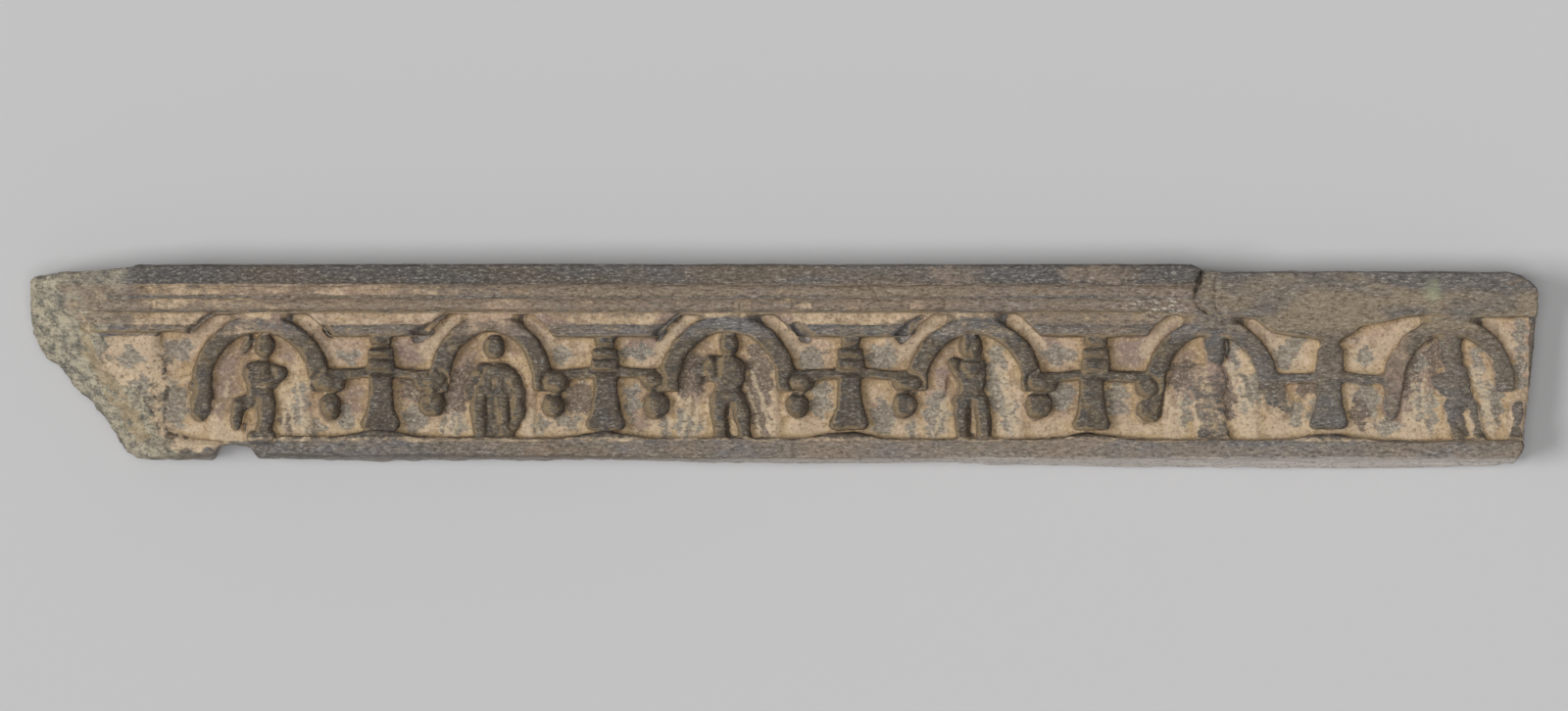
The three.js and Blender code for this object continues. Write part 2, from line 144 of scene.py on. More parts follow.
stone = bpy.data.objects.new("carved_stone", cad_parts["relief_panel"].data.copy())
bpy.context.scene.collection.objects.link(stone)
stone.data.materials.clear()
select_only(stone)
bpy.ops.object.mode_set(mode="EDIT")
bpy.ops.mesh.select_all(action="SELECT")
bpy.ops.mesh.remove_doubles(threshold=MERGE_WITHIN)
bpy.ops.object.mode_set(mode="OBJECT")
print("copy of the block:", len(stone.data.vertices), "corners")

# %% [markdown]
# ## Round forms
# A worn figure has no flat facets: its head, shoulders and knees are soft lumps. Each lump is
# a sphere stretched in edit mode and sunk into the ground of the niche, so that only its
# crest shows. The lumps overlap the block and are made one with it further on.

# %% Round forms of the figures
# In millimetres: the ground of the niches, the middles of the arches, and the sides of a lump.
GROUND = 32
ARCH_Y = -7.6
BAY_X = (-224.4, -125.7, -24.1, 81.7, 183.3, 285.3)
LUMP_SIDES = 16
LUMP_RINGS = 10


def lump(x, y, crest, half_width, half_height, turn=0, sink=1.0):
    """A sphere stretched to an oval whose top stands crest above the ground, in millimetres."""
    depth = crest * sink + 1
    bpy.ops.mesh.primitive_uv_sphere_add(
        segments=LUMP_SIDES, ring_count=LUMP_RINGS, radius=MM, location=(0, 0, 0)
    )
    piece = bpy.context.object
    bpy.ops.object.mode_set(mode="EDIT")
    bpy.ops.mesh.select_all(action="SELECT")
    bpy.ops.transform.resize(value=(half_width, half_height, depth), center_override=(0, 0, 0))
    bpy.ops.transform.rotate(value=-math.radians(turn), orient_axis="Z", center_override=(0, 0, 0))
    bpy.ops.transform.translate(value=(x * MM, y * MM, (GROUND + crest - depth) * MM))
    bpy.ops.object.mode_set(mode="OBJECT")
    return piece


# Each lump of a figure is (x, y, crest, half width, half height, turn), from its arch's middle.
FIGURES = (
    (
        (1.6, 16, 9, 4.2, 5.2, 0), (-4.4, 5.8, 8.2, 3.9, 3.4, 0), (0, 4.6, 8.4, 4.4, 4.2, 0),
        (9.2, 4.6, 8.2, 3.1, 2.7, -14), (3.4, 1.2, 8.8, 7.6, 2.1, 8), (1.2, -3.4, 7.4, 4.2, 2.8, 0),
        (2.4, -8, 8, 4.2, 4.4, 0), (2.2, -14.6, 7.6, 3.3, 6.6, 2), (-9.4, -8.4, 7.8, 3.7, 2.9, 24),
        (-11.6, -13.6, 7.4, 2.6, 5.2, -8), (-1.6, -23, 7, 5.6, 2.4, 0), (-5.2, 19.2, 6, 2.2, 2.6, 0),
    ),
    (
        (1.2, 16, 6, 5.2, 5.6, 0), (-4.6, 5, 7, 3.6, 3.2, 20), (4, 4.8, 8.4, 6.8, 4.2, -12),
        (9.4, 0.6, 8.2, 4.6, 5, -30), (-4.8, -13, 8.4, 3.5, 12, -2), (6, -13, 8, 2.5, 11, 3),
        (11.8, -8.6, 8.2, 3.8, 8.2, 4), (0, -1, 8, 4.8, 6.4, 0),
    ),
    (
        (0.4, 18, 8.8, 4.5, 5.6, 0), (-7.2, 9.6, 8, 2.8, 3.2, 0), (1.8, 7.6, 8.8, 6.2, 4.6, 0),
        (2.6, 2.6, 8.6, 5.4, 5, 0), (-6.4, 4.8, 7.2, 2.8, 2.2, 30), (-0.4, -4.4, 8, 5.4, 3.8, 0),
        (-5, -8, 8, 3.4, 3.6, 0), (-3.8, -15.6, 7.6, 2.9, 8.6, -5), (4.8, -8.6, 8.2, 3.8, 4, 0),
        (7, -15.8, 7.8, 3, 8.2, -8),
    ),
    (
        (-2.6, 16, 8.8, 3.6, 5.9, 0), (0.6, 15.6, 8, 2.8, 5.4, 0), (-9.6, 7.8, 8.4, 2.8, 3.2, 0),
        (-6.4, 3.4, 7, 2.2, 3.6, -38), (-0.6, 5.2, 8.8, 5.1, 4.6, 0), (-1.2, -1.6, 8.2, 4.8, 5, 0),
        (-6.8, -8, 8, 3.8, 3.2, 0), (-5.8, -15.4, 7.6, 2.6, 8, -4), (3.2, -8.6, 8.2, 3.8, 3.8, 0),
        (4.4, -15.8, 7.8, 3, 7.8, -4),
    ),
    (
        (1.4, 15.6, 8.6, 5, 8.2, 0), (-5.6, 4, 6.4, 8.6, 4, 0), (1.6, 3.8, 6.6, 4.6, 4.2, 0),
        (-4.6, -4.4, 6.6, 7.4, 5, 0), (-2.4, -13, 6.2, 4.6, 8.4, 0), (3.4, -16.4, 6.8, 2.8, 8.4, -14),
        (-6, -16, 4.6, 3, 8, 0), (12.6, -1, 3.4, 3.4, 5.6, -6),
    ),
    (
        (0.4, 13.6, 8.4, 5.6, 9.2, 0), (-3.4, 1.4, 6.8, 6.2, 2.6, 12), (4.4, 1.2, 8.2, 5.6, 5.4, 0),
        (5.2, -6, 7.8, 5.6, 3.6, 0), (1.6, -11.6, 7.6, 3.6, 4, 0), (3.4, -17.6, 7.4, 2.8, 6.4, -14),
        (10.6, -12, 7.4, 2.4, 6, -6), (12.4, -18.4, 7, 2.2, 6, -8),
    ),
)
lumps = []
for middle, figure in zip(BAY_X, FIGURES):
    for x, y, crest, half_width, half_height, turn in figure:
        lumps.append(lump(middle + x, ARCH_Y + y, crest, half_width, half_height, turn))
print("round forms:", len(lumps))

# %% [markdown]
# Each arch ends in a knob that turns outwards over a hanging ball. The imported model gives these
# flat facets, so a rounder lump goes over each. Where a ball is lost, none is added. The
# pilasters get rounded shafts and capitals of three cushions, fainter towards the worn right.

# %% Knobs, balls and pilasters
HALF_WIDTHS = (29.8, 26.5, 29.5, 28.8, 28.3, 28.1)
PILASTER_X = (-173, -76.4, 28.1, 131.9, 233.7)
PILASTER_WEAR = (0, 0.4, 0.4, 0.8, 1.4)
KNOBS = (
    (-256.6, -8.3, 7, 3.6, 3.4), (-248.4, -12.4, 8.6, 4.5, 11), (-196, -6.6, 9.7, 5.8, 4.4),
    (-194.7, -17.6, 8.8, 5.4, 6.8), (-151.2, -5.8, 9.6, 6.8, 4), (-150, -15.8, 8.8, 5.5, 6.5),
    (-97.2, -6.7, 10.2, 5.9, 5.3), (-98.8, -16.4, 9.2, 5.5, 6.2), (-57, -5.8, 9.4, 5.2, 4),
    (-55.4, -16.8, 8.8, 5.8, 6.8), (8.2, -7, 9.9, 5.4, 4.7), (5.6, -17, 9.1, 5.8, 6.6),
    (52.2, -7.4, 9.4, 7, 4.2), (50.6, -16.8, 8, 5.2, 6.8), (110.4, -7, 9.6, 5.5, 4.4),
    (108, -17, 8.7, 5.6, 6.5), (155.1, -9, 8.8, 5.4, 5), (155.1, -19, 7.8, 4.6, 5.8),
)
# Each lump of a pilaster is (x, y, crest, half width, half height), from the pilaster's middle.
PILASTER_LUMPS = (
    (0, 10.8, 8.9, 4.3, 2.1), (0.3, 6.2, 9.4, 4.9, 2.6), (0.3, 0.9, 9.9, 5.8, 2.9),
    (0, -14, 9.2, 4.9, 12), (0, -23, 8.8, 7.4, 4.8),
)
for knob in KNOBS:
    lumps.append(lump(*knob))
for middle, wear in zip(PILASTER_X, PILASTER_WEAR):
    for x, y, crest, half_width, half_height in PILASTER_LUMPS:
        lumps.append(lump(middle + x, y, crest - wear, half_width, half_height))
print("with knobs, balls and pilasters:", len(lumps))

# %% [markdown]
# The row of beads under the cornice is nearly worn away. A few stretched beads and round
# reels still show at the left end and over the third arch, so only those are put back.

# %% Beads and reels
BEAD_Y = 26.3
BEAD_CREST = 43.6 - GROUND
REEL_APART = 1.6
REEL_HALF_SIZE = (1.5, 2.9)
REELS = (-270.5, -244.9, -42.8, -18.5, 6.7, 29.4, 54.2, 72.7)
for middle in REELS:
    for side in (-1, 1):
        lumps.append(lump(middle + REEL_APART * side, BEAD_Y, BEAD_CREST, *REEL_HALF_SIZE, sink=0.4))
print("with beads:", len(lumps))

# %% [markdown]
# ## One skin
# Joining only puts the lumps in the same object. A voxel remesh then lays one closed skin
# around everything, with even little faces that can be worn and chipped. A few rounds of
# smoothing take the sharp arrises off, as centuries of weather did.

# %% One skin
VOXEL = 0.5
SKIN_ROUNDS = 12
bpy.ops.object.select_all(action="DESELECT")
for piece in lumps:
    piece.select_set(True)
stone.select_set(True)
bpy.context.view_layer.objects.active = stone
bpy.ops.object.join()
finish_with(stone, "REMESH", mode="VOXEL", voxel_size=VOXEL * MM, adaptivity=0, use_smooth_shade=True)
finish_with(stone, "SMOOTH", factor=0.5, iterations=SKIN_ROUNDS)
print("skin:", len(stone.data.vertices), "points")

# %% [markdown]
# ## Chisel strokes
# A carver's cut is a path with a width and a depth. The helper below lowers (or, with a
# negative depth, raises) every point of the carved face by how near it lies to such a path.
# This stands for the sculpting brush of an artist, with strokes that can be read and changed.

# %% The chisel
CARVED_FROM = 28
CARVED_FACING = 0.15


def points_of(piece):
    """The places of all points of a piece in millimetres, and their normals."""
    count = len(piece.data.vertices)
    places = np.empty(count * 3, dtype=np.float32)
    normals = np.empty(count * 3, dtype=np.float32)
    piece.data.vertices.foreach_get("co", places)
    piece.data.vertices.foreach_get("normal", normals)
    return places.reshape(-1, 3).astype(float) / MM, normals.reshape(-1, 3).astype(float)


def set_points(piece, places):
    """Move all points of a piece to new places, given in millimetres."""
    piece.data.vertices.foreach_set("co", (places * MM).astype(np.float32).ravel())
    piece.data.update()


def distance_to_path(x, y, path):
    """How far points lie from a path of straight stretches."""
    nearest = np.full(x.shape, np.inf)
    for (x0, y0), (x1, y1) in zip(path, path[1:]):
        dx, dy = x1 - x0, y1 - y0
        along = np.clip(((x - x0) * dx + (y - y0) * dy) / (dx * dx + dy * dy), 0, 1)
        nearest = np.minimum(nearest, np.hypot(x - x0 - along * dx, y - y0 - along * dy))
    return nearest


def carve(places, normals, strokes, middle=(0, 0)):
    """Cut strokes (width, depth, path) into the carved face; each path starts from middle."""
    for width, depth, path in strokes:
        path = [(x + middle[0], y + middle[1]) for x, y in path]
        xs, ys = zip(*path)
        reach = 3 * width
        near = np.flatnonzero(
            (places[:, 0] > min(xs) - reach) & (places[:, 0] < max(xs) + reach)
            & (places[:, 1] > min(ys) - reach) & (places[:, 1] < max(ys) + reach)
            & (places[:, 2] > CARVED_FROM) & (normals[:, 2] > CARVED_FACING)
        )
        away = distance_to_path(places[near, 0], places[near, 1], path)
        places[near, 2] -= depth * np.exp(-((away / width) ** 2))


# %% [markdown]
# The folds of dress, the gaps between legs and the hollows at the arms are cut as strokes.
# Each figure has its own list, measured from the middle of its arch.

# %% Folds and gaps of the figures
# Each stroke is (width, depth, path).
FOLDS = (
    (
        (1.5, 3.2, ((4.6, 7.4), (5.2, 4.4))), (0.9, 1.6, ((-3, 10.4), (1, 10.6), (5, 9.8))),
        (0.9, 1.6, ((-5, -0.8), (1, -1.4), (7, -0.6))), (0.8, 1.2, ((-6, 3.4), (-2, 3), (3, 3.2))),
        (1.4, 3.4, ((-1.8, -7), (-3.6, -12), (-4, -19))), (1.8, 3.6, ((-5.8, -11.6), (-6.6, -19))),
        (0.9, 1.5, ((-6, -6), (-6.4, -10.4), (-8, -13))), (0.9, 1.6, ((-2.6, 20), (-2.6, 15))),
    ),
    (
        (1.1, 1.4, ((0.8, 1), (1.6, -8), (1.2, -22.4))),
        (0.8, 1.0, ((-1.6, -5), (-1.1, -12), (-1.4, -22.4))),
        (0.9, 1.3, ((8, -3), (8.8, -10), (7.8, -18))), (0.9, 1.4, ((-3.6, 6), (-6.4, -1), (-7.6, -6))),
        (0.9, 1.6, ((-5.5, 9.4), (0.5, 9.2), (7, 10))), (0.7, 1.0, ((0.5, 3), (3.4, -5), (4, -10))),
        (0.7, 0.9, ((4, 4), (8, -1), (10.4, -6))),
    ),
    (
        (1.6, 3.4, ((1.2, -10), (1.6, -16), (1.6, -23))), (0.9, 2.0, ((-4.8, 11.4), (-4.6, 7))),
        (0.8, 1.2, ((-5.4, -2.4), (0, -3.4), (5.4, -2))), (0.8, 1.1, ((-4, 4.2), (0, 4.6), (4, 2))),
        (0.9, 1.7, ((-4, 12.6), (0, 12.4), (4.2, 12.8))), (0.7, 0.8, ((-3, 0), (1, -1), (5, 1))),
    ),
    (
        (1.6, 3.2, ((-1.2, -9), (-0.9, -16), (-0.7, -23))), (0.7, 1.2, ((-1.8, 21), (-1.9, 10.5))),
        (0.9, 1.6, ((-5.6, 10.2), (-1, 9.8), (3, 10.2))), (0.9, 1.8, ((-6.6, 8.4), (-5.4, 5.6))),
        (0.8, 1.1, ((-5, -4.4), (0, -5), (4.2, -4.4))), (0.8, 1.0, ((-4.4, 3), (0, 2.6), (3.6, 5))),
    ),
    (
        (0.7, 2.4, ((6.4, 20), (6.6, 10.4))), (1.1, 1.6, ((0.6, -9), (1, -16), (1.6, -23))),
        (0.9, 1.2, ((-8.6, -2), (-8, -10), (-8.4, -22))),
        (0.8, 1.0, ((-3.2, -10), (-3.8, -16), (-3.6, -22))),
        (0.9, 1.2, ((-10, 8.2), (-2, 8.2), (5, 8))), (0.8, 0.9, ((-10, -0.6), (-2, -1), (5, 0))),
    ),
    (
        (1.3, 2.4, ((6.6, -11), (7.6, -17), (9.6, -24))),
        (0.7, 2.2, ((3.4, -15.6), (5.2, -20), (7, -24))), (0.9, 1.3, ((-5, 4.4), (-1, 5.2), (3, 5.6))),
        (0.8, 1.0, ((-4, -1.4), (1, -4.4), (8, -3.6))), (0.7, 1.6, ((-5.5, -21), (-4, -23))),
    ),
)
places, normals = points_of(stone)
for middle, strokes in zip(BAY_X, FOLDS):
    carve(places, normals, strokes, (middle, ARCH_Y))
print("strokes on figures:", sum(len(strokes) for strokes in FOLDS))

# %% [markdown]
# A groove parts each knob from the arch that it ends. Three straight cuts part the cushions of
# a capital, and they grow shallow where the stone is worn.

# %% Grooves of the knobs and capitals
BALLS_BELOW = -12
KNOB_CUT = (1.0, 3.0)
KNOB_ARC = (-70, -35, 0, 35, 70)
KNOB_CLEARANCE = 0.5
CAPITAL_CUTS = (8.6, 3.7, -2.2)
CAPITAL_CUT_WIDTH = 0.9
CAPITAL_HALF_WIDTH = 5.6
for x, y, _, half_width, half_height in KNOBS:
    if y > BALLS_BELOW:
        side = 1 if min(BAY_X, key=lambda middle: abs(middle - x)) < x else -1
        across = side * (half_width + KNOB_CLEARANCE)
        up = half_height + KNOB_CLEARANCE
        turns = [math.radians(180 + step) for step in KNOB_ARC]
        groove = [(across * math.cos(turn), up * math.sin(turn)) for turn in turns]
        carve(places, normals, ((*KNOB_CUT, groove),), (x, y))
for x, wear in zip(PILASTER_X, PILASTER_WEAR):
    for y in CAPITAL_CUTS:
        path = ((-CAPITAL_HALF_WIDTH, y), (CAPITAL_HALF_WIDTH, y))
        carve(places, normals, ((CAPITAL_CUT_WIDTH, 2.1 - 1.4 * wear, path),), (x, 0))
print("capitals cut:", len(PILASTER_X))

# %% [markdown]
# The ground of each niche still shows the long marks of a pointed tool. They fan out from the
# figure to the foot of the arch. Each mark is a groove with a low ridge left beside it.

# %% Tool marks in the niches
MARK_WIDTH = 0.75
MARK_DEPTH = 0.55
RIDGE_AWAY = 2.1
TOOL_MARKS = (
    (
        ((9, 1), (12, -8), (14.5, -20)), ((7.5, -3), (10, -12), (10.5, -22)), ((-13, 4), (-15.5, -6)),
        ((14, 6), (17, -6), (18.4, -20)), ((21.2, -14.6), (21.5, -22)),
    ),
    (
        ((-18, -14), (-19.5, -22)), ((-14.5, -14), (-15.8, -22)), ((-11.5, -14), (-9.5, -22)),
        ((13.5, -15), (17, -22)), ((18.5, -14), (21, -22)),
    ),
    (
        ((-16, -6), (-19.5, -22)), ((-13, -8), (-14.5, -22)), ((-8, -6), (-10.5, -22)),
        ((6, 3), (10.5, -8), (14, -22)), ((10, 5), (15, -8), (18.5, -22)),
    ),
    (
        ((-11, -3), (-14, -12), (-17.5, -22)), ((-12, -10), (-12.5, -22)),
        ((9.5, 9), (12.5, -3), (15, -14), (17, -22)), ((12, 6), (15, -5), (17.5, -16), (19, -22)),
    ),
    (
        ((-13.5, -4), (-13.5, -23)), ((-17, -6), (-18, -20)), ((5.5, 11), (11, -3), (16, -22)),
        ((8, 9), (13, 0), (17.5, -14), (19.5, -22)),
    ),
    (
        ((-15, 4), (-15, -22)), ((-11.5, 2), (-10.5, -20)), ((9, 8), (12, 0), (15.5, -12), (18, -22)),
        ((12.5, 6), (15.5, -5), (19.5, -20)),
    ),
)
for middle, marks in zip(BAY_X, TOOL_MARKS):
    for mark in marks:
        beside = tuple((x + RIDGE_AWAY * MARK_WIDTH, y) for x, y in mark)
        strokes = ((MARK_WIDTH, -MARK_DEPTH, mark), (MARK_WIDTH, MARK_DEPTH, beside))
        carve(places, normals, strokes, (middle, ARCH_Y))
print("tool marks:", sum(len(marks) for marks in TOOL_MARKS))

# %% [markdown]
# ## Cracks and losses
# Two old cracks run down through the cornice where it has flaked away. A wide dark crevice
# marks the broken end of the fillet. Smaller fissures stand by the fourth and fifth pilaster.
# The ends of the ledge beside the arches are chipped, and a dark cut curls up along them.

# %% Cracks
CRACKS = (
    (1.2, 3.4, ((179, 42), (177.4, 38), (176.4, 33))),
    (0.7, 2.2, ((176.4, 33), (176, 28.6), (178.4, 25), (181, 23.5))),
    (0.45, 1.5, ((184.8, 37.4), (184, 33.9), (185.2, 29), (185, 25), (186.2, 23.5), (189.6, 21))),
    (0.45, 1.4, ((181, 23.5), (185, 21.8), (189.6, 19), (190.4, 16), (189.4, 12))),
    (0.6, 2.0, ((189.6, 12), (189.4, 4))),
    (0.5, 1.6, ((161, 17.6), (166.6, 18.2), (165.2, 15), (161.4, 14.4))),
    (0.8, 2.0, ((139.2, 9.8), (139.6, 8.4))),
    (0.5, 1.6, ((243.6, -14), (244.8, -18.6), (246.6, -22.6), (244.6, -26.4))),
    (0.9, 2.2, ((240.8, -29.8), (242, -29.2))),
    (0.6, 1.4, ((42, 13.4), (38, 9.4), (39.4, 6.4), (38.2, 3.4))),
    (0.5, 1.3, ((279.6, -29.4), (282.6, -32.2))),
)
LEDGE_NOTCHES = (
    (2.2, 5.5, ((-156.6, 12.4), (-152.4, 15.2))), (2.2, 5.5, ((50.2, 12.4), (54.4, 15.6))),
    (2.4, 5.5, ((9.2, 12.6), (5, 16.6))), (1.4, 5.0, ((-53.6, 12.8), (-51.6, 15))),
    (1.4, 5.0, ((-194.6, 12.8), (-197, 16))),
)
LEDGE_CURLS = (
    (1.0, 3.6, ((-254.8, 14.1), (-250.3, 18.6), (-244.7, 22.5))),
    (1.0, 3.6, ((-159.1, 14.1), (-153.4, 15.8), (-144.5, 22))),
    (1.0, 3.6, ((-54.9, 14.1), (-49.3, 18.8), (-43.7, 22.5))),
    (1.0, 3.6, ((48.2, 13.6), (53.8, 18.1), (59.3, 21.4))),
)
carve(places, normals, CRACKS)
carve(places, normals, LEDGE_NOTCHES)
carve(places, normals, LEDGE_CURLS)
set_points(stone, places)
print("cracks:", len(CRACKS), "and at the ends of the ledge:", len(LEDGE_NOTCHES) + len(LEDGE_CURLS))

# %% [markdown]
# ## Worn surfaces
# Five large shapes are pushed gently. The ground of each niche is dished, as a pointed tool
# leaves it. The last two arches are worn lower than the rest. The remains of the end pilaster
# run out into the ground as a low bank. The left corner is worn to one smooth slope, so the
# hollow of the cornice is filled there. The lower mouldings rise a little towards that end.

# %% Dished niches and the worn corner
# Millimetres, apart from WORN_DOWN, which is the share of their height that the last arches lose.
RISE = 2.2
DISH = 2.4
SLOPE_MIDDLE = 44.2
BANK = 5.6
WORN_DOWN = 0.34


def ramp(value, start, end):
    """0 before start, 1 after end and smooth in between; start may be the larger one."""
    share = np.clip((value - start) / (end - start), 0, 1)
    return share * share * (3 - 2 * share)


def window(value, start, end, soft):
    """1 between start and end, falling to 0 over a soft margin outside them."""
    return ramp(value, start - soft, start + soft) * ramp(value, end + soft, end - soft)


def highest(*masks):
    """The highest of several masks at each point."""
    return np.maximum.reduce(masks)


def dish(x, y):
    """How far the ground of the niches is raised towards the feet of the arches."""
    raised = np.zeros_like(x)
    for middle, half in zip(BAY_X, HALF_WIDTHS):
        off = np.abs(x - middle) / (half - 8)
        raised += DISH * ramp(off, 0.25, 1) * (off < 1) * window(y, -31, 18, 1)
    return raised


places, normals = points_of(stone)
x, y, z = places.T
places[:, 2] += dish(x, y) * ramp(z, GROUND + 5, GROUND + 1) * ramp(z, GROUND - 3, GROUND - 1)
places[:, 2] -= (
    WORN_DOWN * (z - GROUND) * ramp(x, 150, 182) * ramp(y, 20, 8)
    * window(y, -29, 40, 2) * ramp(z, 32, 34)
)
wall = window(x, -274, -256, 2) * window(y, -30, 9, 3) * ramp(z, 30.5, 31.5)
bank = GROUND + dish(x, y) + BANK * ramp(x, -257, -275)
places[:, 2] += (bank - places[:, 2]) * wall
slope = SLOPE_MIDDLE + 0.24 * (x + 277) - 0.1 * (y - 38)
filled = np.maximum(
    ramp(x, -274, -284) * ramp(y, 29, 31.5),
    ramp(x, -295, -305) * ramp(y, 14, 18),
)
places[:, 2] += np.clip(slope - places[:, 2], 0, 4) * filled * ramp(z, 33, 36)
lifted = ramp(x, -248, -262) * window(y, 11, 21, 3) * ramp(z, 31, 34)
places[:, 1] += RISE * lifted
set_points(stone, places)
print("niches dished and corner worn")

# %% [markdown]
# ## Weather
# The ground is rubbed smooth into the feet of the walls. Schist weathers along its layers, so
# the roughness is drawn out along the stone. A Displace modifier reads its texture in the space
# of an empty, and stretching the empty stretches the pattern. The broken left end gets coarser
# lumps through a vertex group.

# %% Weather
def group_from(piece, name, weights):
    """Give a piece a vertex group with a weight for each point, in twenty steps."""
    group = piece.vertex_groups.new(name=name)
    steps = np.rint(np.clip(weights, 0, 1) * 20).astype(int)
    for step in range(1, 21):
        group.add(np.flatnonzero(steps == step).tolist(), step / 20, "REPLACE")


def cloud(name, size, detail):
    """A soft cloud pattern with lumps of about the given size in millimetres."""
    texture = bpy.data.textures.new(name, type="CLOUDS")
    texture.noise_scale = size * MM
    texture.noise_depth = detail
    texture.noise_basis = "ORIGINAL_PERLIN"
    return texture


bpy.ops.object.empty_add(location=(0, 0, 0))
layers = bpy.context.object
layers.name = "layers"
layers.scale = (3.2, 1.0, 1.2)
bpy.context.view_layer.update()


def weather(piece, texture, height, group, direction):
    """Push the skin in and out by a pattern that is drawn out along the layers."""
    finish_with(
        piece, "DISPLACE", texture=texture, texture_coords="OBJECT", texture_coords_object=layers,
        strength=height * MM, mid_level=0.5, vertex_group=group, direction=direction,
    )


def break_height(x, y):
    """How high the sloping face of the broken left end stands at a place, in millimetres."""
    return 42 + 0.7 * (x + 262) + 0.48 * (y + 30)


print("layers are drawn out", layers.scale.x, "times")

# %% [markdown]
# Three soft groups say where the weather bit: the blunt last bays with the end pilaster, the
# ground, and the break. The first two are smoothed. Ten patterns then push the skin, sideways
# first and then in and out.

# %% Weathered skin
# Each pattern is (name, size of its lumps, detail, height, vertex group, direction).
PATTERNS_OF_WEAR = (
    ("hand", 24, 1, 1.3, "", "Y"),
    ("lean", 10, 1, 1.2, "", "X"),
    ("ragged", 4.5, 2, 1.3, "", "Y"),
    ("jagged", 3.6, 2, 0.9, "", "X"),
    ("broad", 14, 1, 1.1, "", "NORMAL"),
    ("uneven", 6, 2, 1.2, "", "NORMAL"),
    ("chipped", 8, 2, 3.0, "broken", "NORMAL"),
    ("hackly", 3.6, 3, 2.6, "broken", "NORMAL"),
    ("worn", 2.4, 2, 1.1, "", "NORMAL"),
    ("grit", 0.9, 1, 0.4, "", "NORMAL"),
)
BLUNT_ROUNDS = 60
GROUND_ROUNDS = 30
places, normals = points_of(stone)
x, y, z = places.T
on_break = ramp(z, break_height(x, y) - 4, break_height(x, y) - 1.5) * ramp(x, -225, -245)
left_wall = ramp(x + 0.5 * y, -268, -276) * ramp(np.abs(normals[:, 2]), 0.8, 0.5)
remains_wall = window(x, -275, -262, 2) * window(y, -30, 9, 3)
near_ground = ramp(z, GROUND + 5, GROUND + 1.4) * ramp(z, GROUND - 3, GROUND - 1) * window(y, -33, 24, 1)
blunt = highest(
    remains_wall,
    0.85 * window(x, 166, 203, 4) * window(y, -31, 14, 2),
    0.5 * window(x, 203, 330, 4) * window(y, -31, 14, 2),
    0.3 * window(x, -254, -200, 4) * window(y, -28, 14, 2),
    0.12 * window(y, -31, 22, 2),
    0.6 * window(y, -34, -28, 1) * ramp(x, -240, -225),
)
group_from(stone, "blunt", blunt * ramp(z, 29, 31))
group_from(stone, "ground", near_ground)
group_from(stone, "broken", highest(on_break, left_wall, 0.7 * ramp(z, 24, 14), 0.5 * remains_wall))
finish_with(stone, "SMOOTH", factor=0.5, iterations=BLUNT_ROUNDS, vertex_group="blunt")
finish_with(stone, "SMOOTH", factor=0.5, iterations=GROUND_ROUNDS, vertex_group="ground")
for name, size, detail, height, group, direction in PATTERNS_OF_WEAR:
    weather(stone, cloud(name, size, detail), height, group, direction)
bpy.data.objects.remove(layers)
print("weathered with", len(PATTERNS_OF_WEAR), "patterns")

# %% [markdown]
# ## Fewer faces
# The skin has far more faces than it needs. Decimate never merges a point that has no weight
# in its vertex group, so the plain sides and back are thinned first and hard, and then the
# carved face, which keeps most of the faces. Weather has pushed a few points past the block's
# box. They are drawn in a little and then held to the box, so that no flat spot shows.

# %% Fewer faces
PLAIN_FACES = 32000
CARVED_FACES = 155000
PLAIN_BELOW = 27
INSET = 0.5
INSET_MARGIN = 2


def faces_where(piece, chosen):
    """How many triangles have all their points among the chosen ones."""
    piece.data.calc_loop_triangles()
    corners = np.empty(len(piece.data.loop_triangles) * 3, dtype=np.int32)
    piece.data.loop_triangles.foreach_get("vertices", corners)
    return int(chosen[corners.reshape(-1, 3)].all(axis=1).sum()), len(corners) // 3


def thin(piece, chosen, wanted):
    """Thin only the chosen points' part of a piece to about the wanted number of triangles."""
    group_from(piece, "thinned", chosen.astype(float))
    inside, whole = faces_where(piece, chosen)
    finish_with(
        piece, "DECIMATE", decimate_type="COLLAPSE", ratio=(whole - inside + wanted) / whole,
        vertex_group="thinned",
    )
    piece.vertex_groups.clear()


stone.vertex_groups.clear()
thin(stone, points_of(stone)[0][:, 2] < PLAIN_BELOW, PLAIN_FACES)
thin(stone, points_of(stone)[0][:, 2] >= PLAIN_BELOW, CARVED_FACES)
places, normals = points_of(stone)
box_low = np.array(low) / MM
box_high = np.array(high) / MM
for axis in (1, 2):
    places[:, axis] -= INSET * ramp(places[:, axis], box_high[axis] - INSET_MARGIN, box_high[axis])
places[:, 1] += INSET * ramp(places[:, 1], box_low[1] + INSET_MARGIN, box_low[1])
places = np.clip(places, box_low, box_high)
set_points(stone, places)
select_only(stone)
bpy.ops.object.shade_smooth()
print("faces on the carved side and in all:", faces_where(stone, places[:, 2] >= PLAIN_BELOW))

# %% [markdown]
# ## Where the earth lies
# The colours follow the carving. Ochre earth has stayed in the niches and hollows. Raised
# stone is bare and dark. Colour that depends on place is worked out once for each point and
# kept as an attribute, which the material reads.

# %% Hollows and edges
edge_ends = np.empty(len(stone.data.edges) * 2, dtype=np.int32)
stone.data.edges.foreach_get("vertices", edge_ends)
edge_ends = edge_ends.reshape(-1, 2)
neighbours = np.bincount(edge_ends.ravel(), minlength=len(stone.data.vertices))


def evened(values, rounds):
    """Average each point's value with its neighbours', a number of rounds."""
    for _ in range(rounds):
        total = np.bincount(edge_ends[:, 0], values[edge_ends[:, 1]], len(values))
        total += np.bincount(edge_ends[:, 1], values[edge_ends[:, 0]], len(values))
        values = 0.5 * values + 0.5 * total / neighbours
    return values


places, normals = points_of(stone)
x, y, z = places.T


